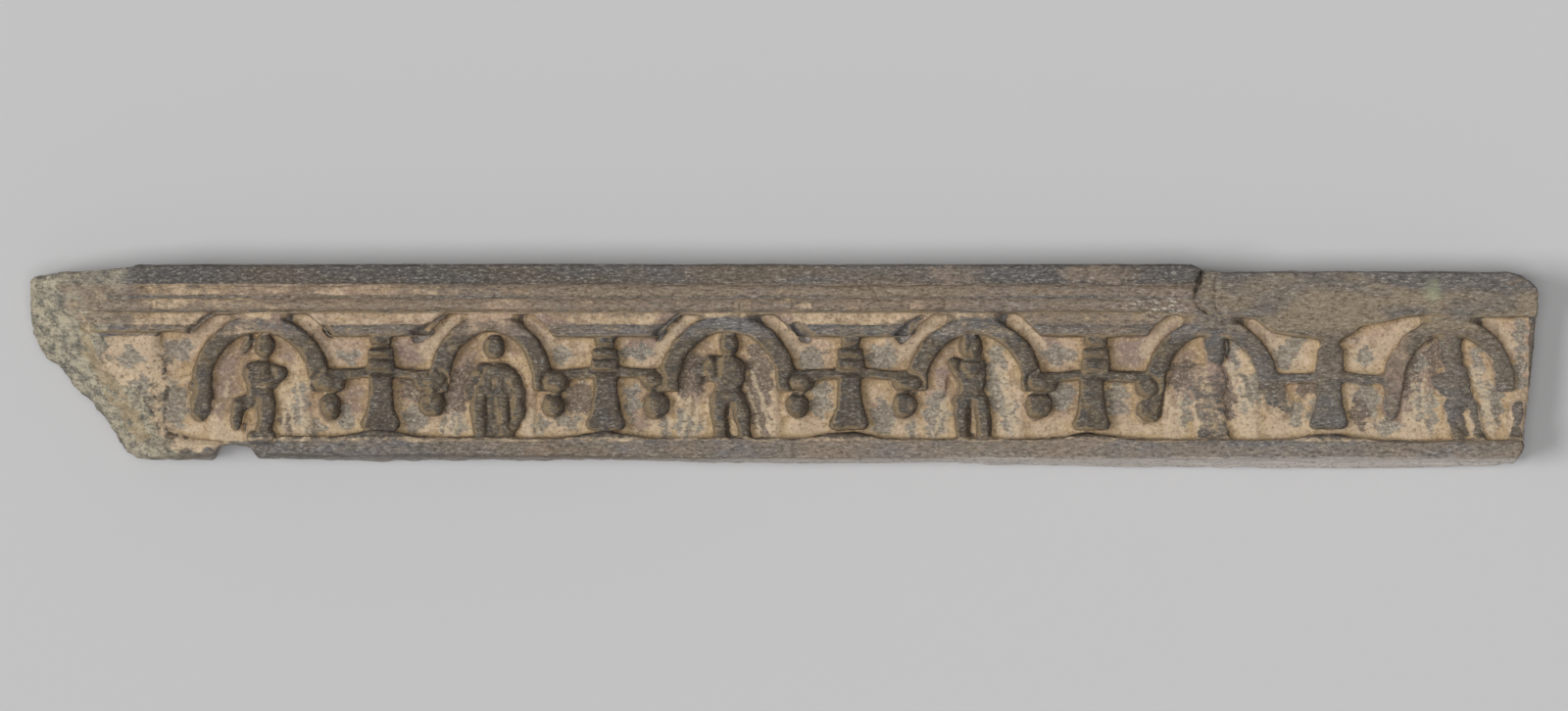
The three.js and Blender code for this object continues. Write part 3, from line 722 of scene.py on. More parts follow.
def hollowness(rounds):
    """How far the evened surface lies above each point: above 0 in hollows, in millimetres."""
    moved = np.column_stack([evened(places[:, axis], rounds) for axis in range(3)]) - places
    return (moved * normals).sum(axis=1)


FINE_ROUNDS = 4
WIDE_ROUNDS = 24
fine_hollow = hollowness(FINE_ROUNDS)
wide_hollow = hollowness(WIDE_ROUNDS)
print("hollows reach", round(float(wide_hollow.max()), 2), "mm, edges", round(float(wide_hollow.min()), 2))

# %% [markdown]
# Masks name the parts of the carving: the ground, the mouldings, the break, the last bays. Each
# is a product of soft windows on where a point lies and which way it faces. Two slow waves make
# the edges of the ovals wander, as no stain has a straight edge.

# %% Windows and ovals
MOULDING_SOFT = 0.6
front = ramp(z, 29, 31.5)
rise = z - GROUND - dish(x, y)
facing = evened(np.clip(normals[:, 2], 0, 1), 3)
upright = ramp(facing, 0.5, 0.15)
to_shade = evened(0.85 * normals[:, 0] + 0.5 * normals[:, 1], 3)
wander = 1.2 * np.sin(0.83 * y + 0.31 * x) + 0.7 * np.sin(1.9 * y - 0.7 * x)
stray = 1.2 * np.sin(0.71 * x + 0.4 * y) + 0.7 * np.sin(1.7 * x + 0.9 * y)


def oval(middle_x, middle_y, half_width, half_height):
    """1 inside an uneven oval and 0 outside it, with a soft rim."""
    across = (x + wander - middle_x) / half_width
    up = (y + stray - middle_y) / half_height
    return ramp(across * across + up * up, 2.6, 0.1)


def ovals(patches):
    """Several uneven ovals together."""
    return highest(*(oval(*patch) for patch in patches))


def spans(middles, left, right, soft):
    """1 in a span that is measured from each of several middles, and 0 elsewhere."""
    return highest(*(window(x, middle + left, middle + right, soft) for middle in middles))


print("the carved face has", int((front > 0.5).sum()), "points")

# %% [markdown]
# The parts are told apart by their place: the ground by its low height, the mouldings by their
# rows, the break by its slant. Where two parts meet, one is taken out of the other.

# %% Parts of the carving
inside = window(y, -32, 24, 1) * ramp(x, -305, -300) * ramp(x, 321, 318)
arcade = window(y, -31, 12.4, 1) * front
# Painted light: the pale earth climbs higher up the walls turned towards the lamps than up those turned
# away.
climb = 3.0 + 1.8 * ramp(to_shade, 0.05, -0.3)
in_ground = ramp(rise, climb, 0.35 * climb) * front * inside
cornice = ramp(y, 11, 14) * front * ramp(rise, 4.5, 6.5)
spall = ramp(x, 174, 184) * ramp(y, 13, 18) * front * ramp(rise, 4, 6)
mouldings = cornice * (1 - spall)
top_fillet = window(y, 34.6, 46, 1)
cavetto = window(y, 30.3, 35.4, MOULDING_SOFT) * mouldings
astragal = window(y, 23.8, 29.4, MOULDING_SOFT) * mouldings
over_arches = spans(BAY_X[:4], -12, 12, 4) * ramp(y, 22, 20.8)
ledge = window(y, 17.7, 23, MOULDING_SOFT) * mouldings * (1 - 0.85 * over_arches)
lower_fillet = window(y, 12.6, 17.2, MOULDING_SOFT) * mouldings
band_line = window(y, -32.6, -30, 0.5) * ramp(x, -262, -250) * front
pilasters = spans(PILASTER_X[:3], -8, 8, 1) * arcade
last_bays = ramp(x, 166, 174) * window(y, -29, 12, 2) * front
fifth_body = window(x, 168, 201, 3) * window(y, -30, 2, 3) * front
sixth_leg = oval(262.5, -1, 5.4, 17) * front
slanted = ramp(z, break_height(x, y) - 4.5, break_height(x, y) - 2)
broken = ramp(x, -225, -245) * slanted * ramp(z, 2, 8)
broken = np.maximum(broken, 0.9 * ramp(x + 0.4 * y, -262, -276) * upright)
in_ground *= 1 - broken
remains = ramp(x, -258, -268) * ramp(y, 15, 12) * ramp(rise, 0, 3) * (1 - broken)
corner = ramp(x, -276, -284) * ramp(y, 12, 20) * front
print("parts found")

# %% [markdown]
# Three more masks follow the arches. The crowns of the first arches are dusty, the narrow
# strips of ground outside each arch are pale, and the rings of the last two arches are bare.

# %% Crowns, strips and rings of the arches
CROWN_SHARES = (1.2, 1.3, 0.7, 0.75, 0.1, 0.1)
crown_band = np.maximum(window(y, 20.4, 23, 0.8), 0.55 * window(y, 13, 23, 1.5))
crowns = highest(*(
    window(np.abs(x - middle), -1, 12, 4) * share * crown_band
    for middle, share in zip(BAY_X, CROWN_SHARES)
)) * front
figures = sum(window(np.abs(x - middle), -1, 13, 3) for middle in BAY_X[:4])
figures = figures * window(y, -31, 6, 3) * front


def around_arch(middle):
    """How far points lie from the middle of an arch, or from the line below its middle."""
    return np.hypot(x - middle, np.maximum(y - ARCH_Y, 0))


strips = highest(*(
    window(around_arch(middle), half + 0.6, half + 6.5, 1) for middle, half in zip(BAY_X, HALF_WIDTHS)
)) * ramp(y, 1, 6) * in_ground
late_rings = highest(*(
    window(around_arch(middle), half - 9.6, half - 0.6, 0.8)
    for middle, half in zip(BAY_X[4:], HALF_WIDTHS[4:])
)) * window(y, -18, 22, 3)
print("crowns, strips and rings found")

# %% [markdown]
# The cuts of the folds hold earth, the tool marks are pale, and a pale line runs along the
# upper edge of the break. So the paths of the chisel are used once more, now as masks.

# %% Strokes and the broken edge
FOLD_CUT_FROM = 1.3
STROKE_WIDTH = 0.8
EDGE_WIDTH = 1.3
BREAK_EDGE = (
    (-305, 27.6), (-298.5, 17.5), (-289.5, 0.7), (-280.6, -9.4), (-271.6, -23.9), (-264.9, -32.9),
)


def along(strokes_of_bays, width):
    """1 on the strokes of all bays and 0 a little beside them."""
    mask = np.zeros_like(x)
    for middle, paths in zip(BAY_X, strokes_of_bays):
        near = np.flatnonzero((np.abs(x - middle) < 26) & (z > CARVED_FROM))
        for path in paths:
            path = [(middle + across, ARCH_Y + up) for across, up in path]
            away = distance_to_path(x[near] + 0.3 * wander[near], y[near], path)
            mask[near] = np.maximum(mask[near], np.exp(-((away / width) ** 2)))
    return mask


deep_folds = [[path for width, depth, path in strokes if depth > FOLD_CUT_FROM] for strokes in FOLDS]
folds = along(deep_folds, STROKE_WIDTH)
marks = along(TOOL_MARKS, STROKE_WIDTH)
from_edge = distance_to_path(x + 0.7 * wander, y + 0.7 * stray, BREAK_EDGE)
edge_line = np.exp(-((from_edge / EDGE_WIDTH) ** 2)) * front
print("strokes found:", sum(len(paths) for paths in deep_folds))

# %% [markdown]
# Earth is strongest on the ground, weaker in the hollows of the mouldings, and faint on the
# figures. Each part has its share, and the highest share wins. Bare rings and spots are then
# taken off, and a few spots of earth are added where the photograph shows them.

# %% Earth
# Where the stretched beads still show along their row, each from and to.
BARRELS = (
    (-161, -145.7), (-142, -132), (-106.4, -90.7), (-80.6, -67.7), (-56, -46.5), (-43.7, -33.6),
    (-32.6, -22.4), (-13.4, -4.6), (12.2, 25.6), (33.6, 53), (62.6, 76),
)
barrels = sum(window(x, start, end, 0.8) for start, end in BARRELS) * astragal
barrel_gaps = window(x, -163, 78, 1) * astragal - barrels
EARTH_SPOTS = (
    (-293.5, 29.5, 5, 3.6), (-253, -34, 9, 3.4), (-284, 2, 9, 8), (-272, 9, 4, 4),
    (64, 40, 9, 3), (78, 41, 6, 2), (112, 40, 8, 3), (314, 37, 7, 4), (180, 0, 6, 4),
)
to_middle = ramp(x, -190, -70)
earth = highest(
    in_ground * 1.1,
    cavetto * (0.56 - 0.26 * to_middle),
    astragal * (0.42 - 0.18 * to_middle + 0.12 * ramp(x, -200, -260)),
    0.48 * barrel_gaps,
) - 0.3 * barrels
earth = highest(
    earth,
    ledge * (0.68 - 0.28 * ramp(x, 40, 110)),
    lower_fillet * 0.32,
    crowns * 0.8,
    broken * 0.2,
    remains * 0.66,
    band_line * 0.5,
    fifth_body * 0.47,
    0.46 * oval(211, -17, 8, 8),
    folds * 0.42 * front,
    0.14 * figures * ramp(rise, 2, 5),
) - 0.45 * late_rings
earth = np.maximum(earth, 0.5 * sixth_leg) - 0.5 * oval(241, 13, 12, 4.6) * in_ground
earth = np.maximum(earth, 0.58 * oval(-251, -33, 14, 2.8) * front)
earth = np.maximum(earth * (1 - corner) + corner * 0.14, 0.62 * edge_line)
earth += 0.3 * ovals(EARTH_SPOTS) * front
print("earth lies on", round(100 * float((earth > 0.5).mean())), "% of the points")

# %% [markdown]
# The rest of the masks are thinner marks: a film of dust on the mouldings, pale and chalky
# spots, painted light and painted shade on the rims and in the crevices, painted light on the
# side faces and the underside, and the cream and rose shades of the earth, which also carry
# painted light on the right of each niche and painted shade on its left.

# %% Films, rims and shades
LIGHT_PATCHES = (
    (222, 5, 9, 9), (248, 1, 8, 7), (171, 20, 10, 3.4), (271, -10, 5, 20),
    (-251, -32, 14, 3), (203, 14, 5, 8),
)
DUSTY_PATCHES = ((74, 40, 12, 4), (134, 39.5, 15, 5))
film = highest(
    cavetto, astragal * 0.9, ledge * 0.85, crowns * 0.6, remains * 0.5, lower_fillet * 0.45, sixth_leg,
    0.45 * window(y, -45, -31, 1) * front,
    0.7 * ovals(DUSTY_PATCHES) * top_fillet * front,
)
# Painted light on the lower edge of the block, where its underside shows, plus a faint paler tone of the
# foot band itself.
painted_underside_light_and_pale_band = np.maximum(
    np.maximum(window(x, 62, 318, 8), 0.9 * window(x, -60, 318, 90) * upright) * ramp(y, -38.4, -40.2),
    0.05 * window(y, -40, -31, 1) * front * ramp(x, -60, 40),
)
rim = ramp(facing, 0.94, 0.74) * front * inside
# Painted light and painted shade: walls turned towards the lamps get a lighter olive rim, walls turned
# away a dark brown one.
painted_light_rim = rim * ramp(to_shade, 0.1, -0.3) * (1 - 0.5 * last_bays)
painted_shade_rim = rim * ramp(to_shade, 0.05, 0.4) * (1 - 0.6 * last_bays)
# Painted shade: the fine hollows darken only on the sides turned away from the lamps, where shadow falls.
painted_crevice_shade = fine_hollow * ramp(to_shade, -0.08, 0.22)
painted_crevice_shade *= (1 - 0.85 * window(y, -34, -26, 1)) * (1 - 0.8 * last_bays)
# Painted light: the sides and back of the block are laid with a paler grey, as if lit.
side = np.maximum(ramp(z, 44, 16) * upright, (1 - front) * (1 - upright)) * (1 - broken)
chalk = np.maximum(oval(160, 25.4, 11, 3.6), 0.7 * oval(208, -10, 3, 2.4)) * front
# Painted shade: the left part of each niche ground is darkened, as if in shadow; it goes into the rose
# stain.
painted_shade_niche_left = spans(BAY_X, -18, -5, 4) * window(y, -16, 10, 4)
# Painted light: the right part of each niche ground is lightened, as if lit; it goes into the cream.
painted_light_niche_right = spans(BAY_X, 8, 20, 4) * window(y, -28, 8, 4)
cream_and_painted_light = 0.8 * ramp(y, -17, -27) + 0.8 * remains + edge_line
cream_and_painted_light += 1.2 * ovals(LIGHT_PATCHES) + 0.8 * strips + 0.45 * painted_light_niche_right
dark_along = 0.42 + 0.58 * ramp(x, 20, -140) + 0.4 * ramp(x, 60, 120)
dusk = np.maximum(
    pilasters * 0.7,
    top_fillet * dark_along * ramp(x, -284, -274) * (1 - spall) * ramp(z, 16, 42),
)
print("films and shades worked out")

# %% [markdown]
# The ground isn't even: in places the earth is worn through, or stained dark, or has a rose
# tinge. These patches were placed one by one, as ovals with a middle and half sizes.

# %% Worn patches and stains
WORN_PATCHES = (
    (-260, 6.7, 5.6, 4.3), (-261, -16.5, 5, 9), (-187, 3.9, 4, 2.6), (-207.5, -16, 3, 9),
    (-200.6, -26, 4, 3), (-188, -22, 3, 5), (-158, -22, 5, 5.5), (-145.5, -25, 1.8, 4.8),
    (-139, -24.5, 3.4, 4.2), (-103.7, -25.4, 3, 3.4), (-92.8, -24, 4.8, 3), (-95, 5, 4.4, 3),
    (-63, 6, 6.8, 2.6), (-65, -14, 2.8, 7), (-51, -27, 2.2, 4), (-42.6, -25, 3.6, 5.4),
    (-37.2, -27, 1.8, 3.4), (11.8, 2.8, 5.2, 4.6), (42.3, 3.9, 5.8, 5), (16, -14.4, 4, 7),
    (42.8, -21.8, 5, 6.5), (54.6, -27, 2.2, 3), (65.4, -21, 4.6, 8), (91, -4.7, 4, 13),
    (96.4, -20.8, 3.6, 7), (118, -12, 6, 5.6), (118, 5, 6.4, 3.6), (142.4, -14.4, 4.4, 7),
    (215, 3.9, 4.6, 4.4), (198, -12, 3, 8), (219.4, -20.8, 3, 4.4), (249.6, -14, 5, 7),
    (272, -14.4, 2.2, 8), (302, -16.5, 2.6, 8), (272.6, 2, 2.6, 5), (316, 13, 2.4, 7),
    (316, -2, 2.4, 7), (-280, 4, 5, 4), (-297, 9, 6, 6), (-288, 20, 6, 3), (-276, -12, 4, 7),
    (172, -20, 2.4, 7), (192.6, 4, 2.4, 9), (203.6, -3, 2.4, 11), (277.6, -20, 2.2, 8),
    (297.4, 0, 2.4, 9), (306, -16, 2.2, 8), (229, -20, 4, 5), (249, 4, 4, 3.4), (220, 10, 4, 3),
    (259, -26, 5, 3),
)
worn = ovals(WORN_PATCHES) * front

DARK_PATCHES = (
    (-87.6, -14, 6, 6), (-41.6, -5, 4, 7), (-10.8, -6, 5.2, 15), (-9.5, -24, 3, 6), (-38, -3, 5, 8),
    (-134, -7, 8, 7), (-142, -14, 6, 5), (-157, -8, 7, 6), (190, -14, 3, 8), (171, -4, 5, 6),
    (225, -8, 5, 4), (247, -20, 3.4, 6), (279, 6, 3, 7), (-212.6, -24, 3, 4), (267.5, -2, 3.4, 10),
)
dark = ovals(DARK_PATCHES) * in_ground
ROSE_PATCHES = (
    (-240, -6, 5, 14), (-232, 6, 5, 5), (-213, 8, 5, 5), (-186, -13, 6, 8), (-163, 1, 7, 9),
    (-139, 6, 8, 8), (-60, 10, 8, 6), (-62, -18, 4, 10), (-112, 12, 8, 6), (-42, 8, 7, 8),
    (-20, -14, 3, 8), (60, 6, 8, 10), (74, 12, 6, 5), (112, 12, 6, 7), (150, 8, 6, 8), (124, -10, 7, 8),
    (164, 10, 8, 8), (188, -2, 6, 8), (262, -12, 6, 12), (284, 12, 4, 8), (-240, 20, 8, 3),
    (-212, 19, 8, 4), (-100, 19, 8, 4), (-6, 17, 8, 5), (-46, 20, 7, 4), (-22.6, -14, 2.6, 8),
    (80.6, -16, 2.4, 8), (-170, 8, 4, 8),
)
# A rose tinge of the earth, plus painted shade on the left part of each niche.
rose_and_painted_shade = np.maximum(ovals(ROSE_PATCHES), 0.7 * painted_shade_niche_left) * (1 - strips) + 0.34 * strips
spot = oval(277.8, 32.0, 3.4, 3.2)
print("patches:", len(WORN_PATCHES), "worn,", len(DARK_PATCHES), "dark,", len(ROSE_PATCHES), "rose_and_painted_shade")

# %% [markdown]
# Each mask becomes an attribute of the mesh, one value for each point, under its own name.

# %% Attributes
ATTRIBUTES = {
    "earth": earth, "film": film, "worn": worn, "dark": dark, "rose_and_painted_shade": rose_and_painted_shade, "cream_and_painted_light": cream_and_painted_light,
    "hollow": wide_hollow * (1 - 0.7 * strips), "painted_crevice_shade": painted_crevice_shade, "marks": marks * in_ground,
    "dusk": dusk, "painted_light_rim": painted_light_rim, "painted_shade_rim": painted_shade_rim, "arcade": arcade * (1 - 0.6 * last_bays),
    "broken": np.maximum(broken, 0.5 * corner), "spall": spall, "spot": spot, "painted_underside_light_and_pale_band": painted_underside_light_and_pale_band,
    "chalk": chalk, "side": side,
}
for name, values in ATTRIBUTES.items():
    attribute = stone.data.attributes.new(name, "FLOAT", "POINT")
    attribute.data.foreach_set("value", np.asarray(values, dtype=np.float32))
print("attributes:", ", ".join(ATTRIBUTES))

# %% [markdown]
# ## Colours of the stone
# Shader nodes are placed by a short helper. A number or a colour is set on a socket, and the
# output of another node is linked to it.

# %% Helpers for nodes
def put(tree, kind, inputs=None, **settings):
    """Add a node, set or link its inputs, and give the node back."""
    node = tree.nodes.new("ShaderNode" + kind)
    for name, value in settings.items():
        setattr(node, name, value)
    for name, value in (inputs or {}).items():
        if isinstance(value, bpy.types.NodeSocket):
            tree.links.new(value, node.inputs[name])
        else:
            node.inputs[name].default_value = value
    return node


def tone(red, green, blue):
    """A colour as it is seen on a screen, from 0 to 255, turned into light."""
    return (*(((c / 255 + 0.055) / 1.055) ** 2.4 for c in (red, green, blue)), 1)


def maths(tree, operation, first, second=0.0):
    """One sum on two values."""
    return put(tree, "Math", {0: first, 1: second}, operation=operation).outputs[0]


def mixed(tree, share, first, second):
    """Two colours mixed by a share from 0 to 1."""
    return put(tree, "Mix", {0: share, 6: first, 7: second}, data_type="RGBA").outputs[2]


def stepped(tree, value, start, end, low=0.0, high=1.0):
    """A value ramped smoothly from low to high between start and end."""
    inputs = {"Value": value, "From Min": start, "From Max": end, "To Min": low, "To Max": high}
    return put(tree, "MapRange", inputs, interpolation_type="SMOOTHSTEP").outputs["Result"]


def new_group(name, inputs, outputs):
    """An empty node group with named value inputs and outputs."""
    group = bpy.data.node_groups.new(name, "ShaderNodeTree")
    for socket, value in inputs.items():
        made = group.interface.new_socket(socket, in_out="INPUT", socket_type="NodeSocketFloat")
        made.default_value = value
    for socket, kind in outputs.items():
        group.interface.new_socket(socket, in_out="OUTPUT", socket_type=kind)
    return group, group.nodes.new("NodeGroupInput"), group.nodes.new("NodeGroupOutput")


# %% [markdown]
# Schist is built of thin layers of mica, quartz and dark minerals. On a face cut along the
# layers it shows as short pale and dark streaks with a few bright flecks. The pattern is noise
# that is squeezed across the stone and drawn out along it.

# %% Grain of the schist
PATTERNS = ("Streaks", "Bands", "Flecks", "Broad", "Speckle", "Mottle")
grain_group, grain_in, grain_out = new_group(
    "schist_grain",
    {"Streak Length": 2.6},
    {name: "NodeSocketFloat" for name in PATTERNS},
)
place = put(grain_group, "TexCoord").outputs["Object"]
squeeze = maths(grain_group, "DIVIDE", 1.0, grain_in.outputs["Streak Length"])
scale = put(grain_group, "CombineXYZ", {0: squeeze, 1: 1.0, 2: 0.8}).outputs[0]
drawn = put(grain_group, "VectorMath", {0: place, 1: scale}, operation="MULTIPLY").outputs[0]


def noise(vector, size, detail, roughness):
    """Noise with lumps of about the given size in millimetres."""
    inputs = {"Vector": vector, "Scale": 1 / (size * MM), "Detail": detail, "Roughness": roughness}
    return put(grain_group, "TexNoise", inputs).outputs["Fac"]


patterns = (
    noise(drawn, 1.1, 4, 0.8), noise(drawn, 7, 5, 0.65), noise(drawn, 0.55, 2, 0.6),
    noise(drawn, 26, 3, 0.6), noise(place, 1.5, 4, 0.8), noise(place, 5, 5, 0.7),
)
for name, pattern in zip(PATTERNS, patterns):
    grain_group.links.new(pattern, grain_out.inputs[name])
print("grain group made")

# %% [markdown]
# Earth and wear never end in a clean line. This group takes a soft measure and gives it a
# ragged edge, with crumbs of about a millimetre along it.

# %% Ragged edges
ragged_group, ragged_in, ragged_out = new_group(
    "ragged_edge",
    {"Amount": 0.5, "Start": 0.4, "End": 0.6, "Raggedness": 0.5, "Crumb": 420.0},
    {"Mask": "NodeSocketFloat"},
)
place = put(ragged_group, "TexCoord").outputs["Object"]
drawn = put(ragged_group, "VectorMath", {0: place, 1: (0.55, 1, 0.8)}, operation="MULTIPLY").outputs[0]
crumb = put(
    ragged_group, "TexNoise",
    {"Vector": drawn, "Scale": ragged_in.outputs["Crumb"], "Detail": 6, "Roughness": 0.72},
).outputs["Fac"]
centred = maths(ragged_group, "SUBTRACT", crumb, 0.5)
shift = maths(ragged_group, "MULTIPLY", centred, ragged_in.outputs["Raggedness"])
doubled = maths(ragged_group, "MULTIPLY", shift, 2.0)
shifted = maths(ragged_group, "ADD", ragged_in.outputs["Amount"], doubled)
mask = stepped(ragged_group, shifted, ragged_in.outputs["Start"], ragged_in.outputs["End"])
ragged_group.links.new(mask, ragged_out.inputs["Mask"])
print("ragged edge group made")

# %% [markdown]
# ## The weathered schist
# The material reads the attributes and the two groups. Its tones are named here as they are
# seen on a screen. Short helpers then lay one colour over another.

# %% Tones
SEEN_TONES = {
    "blue_grey": (104, 101, 101), "brown": (118, 105, 92), "olive_band": (98, 94, 80),
    "soot": (76, 73, 69), "umber": (92, 82, 69), "tan": (124, 108, 84), "dusk": (72, 67, 64),
    "dark_olive": (110, 108, 97), "pale_olive": (180, 170, 147),
    "flaked_grey": (100, 95, 92), "flaked_brown": (134, 120, 100),
    # Painted light: the side tone, and the underside tone of the lower edge.
    "film": (142, 124, 106), "side": (160, 153, 146), "painted_underside_light_and_pale_band": (224, 215, 207),
    "dark_streak": (54, 48, 43), "bright_streak": (168, 160, 148),
    # Painted light and painted shade on the walls of the carving.
    "painted_light_rim": (164, 140, 104), "painted_shade_rim": (66, 50, 36),
    "ochre": (157, 136, 113), "sand": (200, 177, 148), "rosy_ochre": (170, 144, 128),
    "cream_and_painted_light": (198, 178, 150), "rose_and_painted_shade": (138, 118, 110), "hollow": (158, 132, 86),
    "worn_grey": (100, 98, 92), "worn_pale": (150, 145, 134),
    "stained": (80, 70, 64), "stained_brown": (120, 107, 97), "marks": (204, 184, 154),
    "dark_crumb": (108, 90, 72), "pale_crumb": (214, 199, 174),
    "fleck": (192, 186, 176), "spot": (156, 160, 130), "chalk": (206, 198, 186),
    # Painted shade for the crevices on the sides turned away from the lamps.
    "painted_crevice_shade": (58, 44, 30),
}
TONES = {name: tone(*seen) for name, seen in SEEN_TONES.items()}
schist = bpy.data.materials.new("weathered_schist")
schist.use_nodes = True
tree = schist.node_tree
tree.nodes.clear()
grain = put(tree, "Group", node_tree=grain_group)
streaks, bands, flecks, broad, speckle, mottle = (grain.outputs[name] for name in PATTERNS)


def measure(name):
    """The value of one attribute of the stone."""
    return put(tree, "Attribute", attribute_name=name).outputs["Fac"]


def weaker(mask, most):
    """A mask that does no more than the most."""
    return maths(tree, "MULTIPLY", mask, most)


def ragged(amount, start, end, raggedness=0.5, crumb=420.0):
    """A mask with a ragged edge."""
    inputs = {"Amount": amount, "Start": start, "End": end, "Raggedness": raggedness, "Crumb": crumb}
    return put(tree, "Group", inputs, node_tree=ragged_group).outputs["Mask"]


def blended(pattern, start, end, first, second):
    """Two named tones that change from one to the other with a pattern of the grain."""
    return mixed(tree, stepped(tree, pattern, start, end), TONES[first], TONES[second])


def laid(base, name, colour, most):
    """A colour laid over another by an attribute of the stone."""
    return mixed(tree, weaker(measure(name), most), base, colour)


def stained(base, name, colour, most, edge, raggedness=0.5, crumb=420.0):
    """A colour laid over another where an attribute is high, with a ragged edge."""
    mask = ragged(measure(name), *edge, raggedness, crumb)
    return mixed(tree, weaker(mask, most), base, colour)


def flecked(base, pattern, start, end, most, name):
    """A named tone in flecks over a colour, where a pattern or a measure is high or low."""
    return mixed(tree, stepped(tree, pattern, start, end, 0, most), base, TONES[name])


print("tones:", len(TONES))

# %% [markdown]
# Bare stone runs from blue-grey to brown, and is darker and browner in the arcade. The break is
# olive and rough, the flaked third greyer. The side faces and the underside are made paler, as
# painted light. Dark and bright streaks of the grain are laid over all these tones, and the rims
# come last: painted light on those turned to the lamps, painted shade on those turned away.

# %% Bare stone
bare = blended(broad, 0.4, 0.6, "blue_grey", "brown")
bare = flecked(bare, bands, 0.42, 0.66, 0.6, "olive_band")
tinted = blended(mottle, 0.36, 0.5, "soot", "umber")
tinted = flecked(tinted, mottle, 0.52, 0.66, 1.0, "tan")
bare = laid(bare, "arcade", tinted, 0.85)
bare = laid(bare, "dusk", TONES["dusk"], 0.6)
olive = blended(mottle, 0.38, 0.6, "dark_olive", "pale_olive")
bare = stained(bare, "broken", olive, 0.92, (0.2, 0.7), 0.4)
flaked = blended(broad, 0.4, 0.58, "flaked_grey", "flaked_brown")
bare = stained(bare, "spall", flaked, 0.9, (0.2, 0.7), 0.4)
bare = stained(bare, "film", TONES["film"], 0.6, (0.25, 0.85), 0.8, 200.0)
# Painted light: the side faces are made paler.
bare = stained(bare, "side", TONES["side"], 0.9, (0.1, 0.9), 0.7, 160.0)
# Painted light on the underside at the lower edge, and a faint paler tone on the foot band.
bare = laid(bare, "painted_underside_light_and_pale_band", TONES["painted_underside_light_and_pale_band"], 0.8)
bare = flecked(bare, streaks, 0.49, 0.37, 0.62, "dark_streak")
bright = put(tree, "Mix", {0: measure("arcade"), 2: 0.6, 3: 0.42}).outputs[0]
bright = maths(tree, "MULTIPLY", stepped(tree, streaks, 0.52, 0.66), bright)
bare = mixed(tree, bright, bare, TONES["bright_streak"])
# Painted light on walls turned towards the lamps, painted shade on those turned away.
bare = stained(bare, "painted_light_rim", TONES["painted_light_rim"], 0.45, (0.35, 1.0), 1.2, 240.0)
bare = stained(bare, "painted_shade_rim", TONES["painted_shade_rim"], 0.3, (0.35, 1.0), 0.9, 240.0)
print("bare stone done")

# %% [markdown]
# The earth runs from ochre to cream and rose, with yellower hollows. Where it is worn through
# or stained, grey and dark patches show. Crumbs of both tones lie over all of it.

# %% Earth in the hollows
ochre = blended(mottle, 0.38, 0.6, "ochre", "sand")
ochre = flecked(ochre, broad, 0.42, 0.6, 0.5, "rosy_ochre")
# Cream earth, which also carries painted light on the right of each niche.
ochre = stained(ochre, "cream_and_painted_light", TONES["cream_and_painted_light"], 0.6, (0.2, 0.9), 0.7, 180.0)
# Rose earth, which also carries painted shade on the left of each niche.
ochre = stained(ochre, "rose_and_painted_shade", TONES["rose_and_painted_shade"], 0.82, (0.15, 0.85), 0.7, 180.0)
ochre = stained(ochre, "hollow", TONES["hollow"], 0.5, (0.1, 1.0), 0.5, 300.0)
patch = blended(streaks, 0.4, 0.6, "worn_grey", "worn_pale")
ochre = stained(ochre, "worn", patch, 0.8, (0.3, 0.7), 0.7, 300.0)
shadowed = blended(streaks, 0.4, 0.6, "stained", "stained_brown")
ochre = stained(ochre, "dark", shadowed, 0.85, (0.3, 0.65), 0.7, 280.0)
ochre = stained(ochre, "marks", TONES["marks"], 0.6, (0.2, 0.7))
ochre = flecked(ochre, speckle, 0.48, 0.35, 0.7, "dark_crumb")
ochre = flecked(ochre, speckle, 0.53, 0.68, 0.65, "pale_crumb")
print("earth done")

# %% [markdown]
# Earth is laid over the bare stone with a ragged edge. On plain stone the edge follows the long
# bands of the grain, and in the arcade it clots. A shallow bump gives the layers on bare stone
# and a crust on the earth.

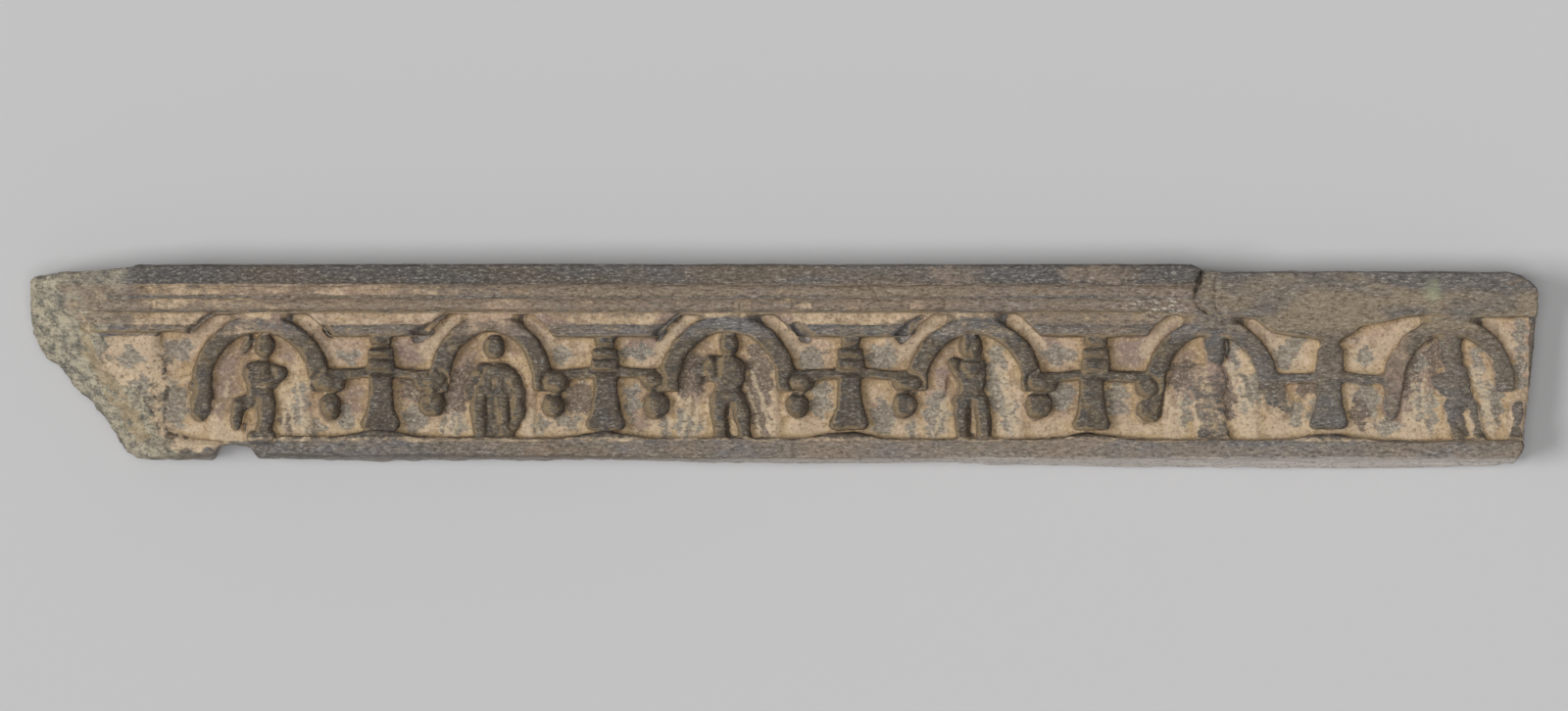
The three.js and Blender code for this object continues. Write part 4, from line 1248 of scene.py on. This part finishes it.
# %% Surface of the schist
BUMP_STRENGTH = 0.8
BUMP_HEIGHT = 0.7 * MM
drawn_out = weaker(maths(tree, "SUBTRACT", bands, 0.5), 0.9)
clotted = weaker(maths(tree, "SUBTRACT", mottle, 0.5), 1.1)
uneven = put(tree, "Mix", {0: measure("arcade"), 2: drawn_out, 3: clotted}).outputs[0]
earthy = ragged(maths(tree, "ADD", measure("earth"), uneven), 0.34, 0.66)
colour = mixed(tree, earthy, bare, ochre)
colour = flecked(colour, flecks, 0.6, 0.74, 0.3, "fleck")
colour = laid(colour, "spot", TONES["spot"], 0.5)
chalky = maths(tree, "MULTIPLY", stepped(tree, streaks, 0.52, 0.6), weaker(measure("chalk"), 0.75))
colour = mixed(tree, chalky, colour, TONES["chalk"])
# Painted shade: dark brown in the crevices on the sides turned away from the lamps.
colour = flecked(colour, measure("painted_crevice_shade"), 0.16, 0.6, 0.42, "painted_crevice_shade")

layers_of_stone = maths(tree, "ADD", weaker(streaks, 0.6), weaker(bands, 0.6))
crust = maths(tree, "ADD", weaker(speckle, 0.7), weaker(mottle, 0.7))
relief = maths(tree, "ADD", layers_of_stone, maths(tree, "MULTIPLY", crust, earthy))
bump = put(tree, "Bump", {"Strength": BUMP_STRENGTH, "Distance": BUMP_HEIGHT, "Height": relief})
surface = put(tree, "BsdfPrincipled", {
    "Base Color": colour,
    "Roughness": stepped(tree, streaks, 0.3, 0.8, 0.92, 0.7),
    "Normal": bump.outputs["Normal"],
    "Specular IOR Level": 0.3,
})
out = put(tree, "OutputMaterial")
tree.links.new(surface.outputs["BSDF"], out.inputs["Surface"])
stone.data.materials.append(schist)
print("schist made with", len(tree.nodes), "nodes")

# %% [markdown]
# The paper is plain: one even grey, nearly without shine.

# %% The paper's finish
paper_finish = bpy.data.materials.new("grey_paper")
paper_finish.use_nodes = True
paper_surface = paper_finish.node_tree.nodes["Principled BSDF"]
paper_surface.inputs["Base Color"].default_value = PAPER_TONE
paper_surface.inputs["Roughness"].default_value = 0.95
paper_surface.inputs["Specular IOR Level"].default_value = 0.1
paper.data.materials.append(paper_finish)
print("paper made")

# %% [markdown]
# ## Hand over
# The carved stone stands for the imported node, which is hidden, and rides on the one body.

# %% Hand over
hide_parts("relief_panel")
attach(stone, "root")
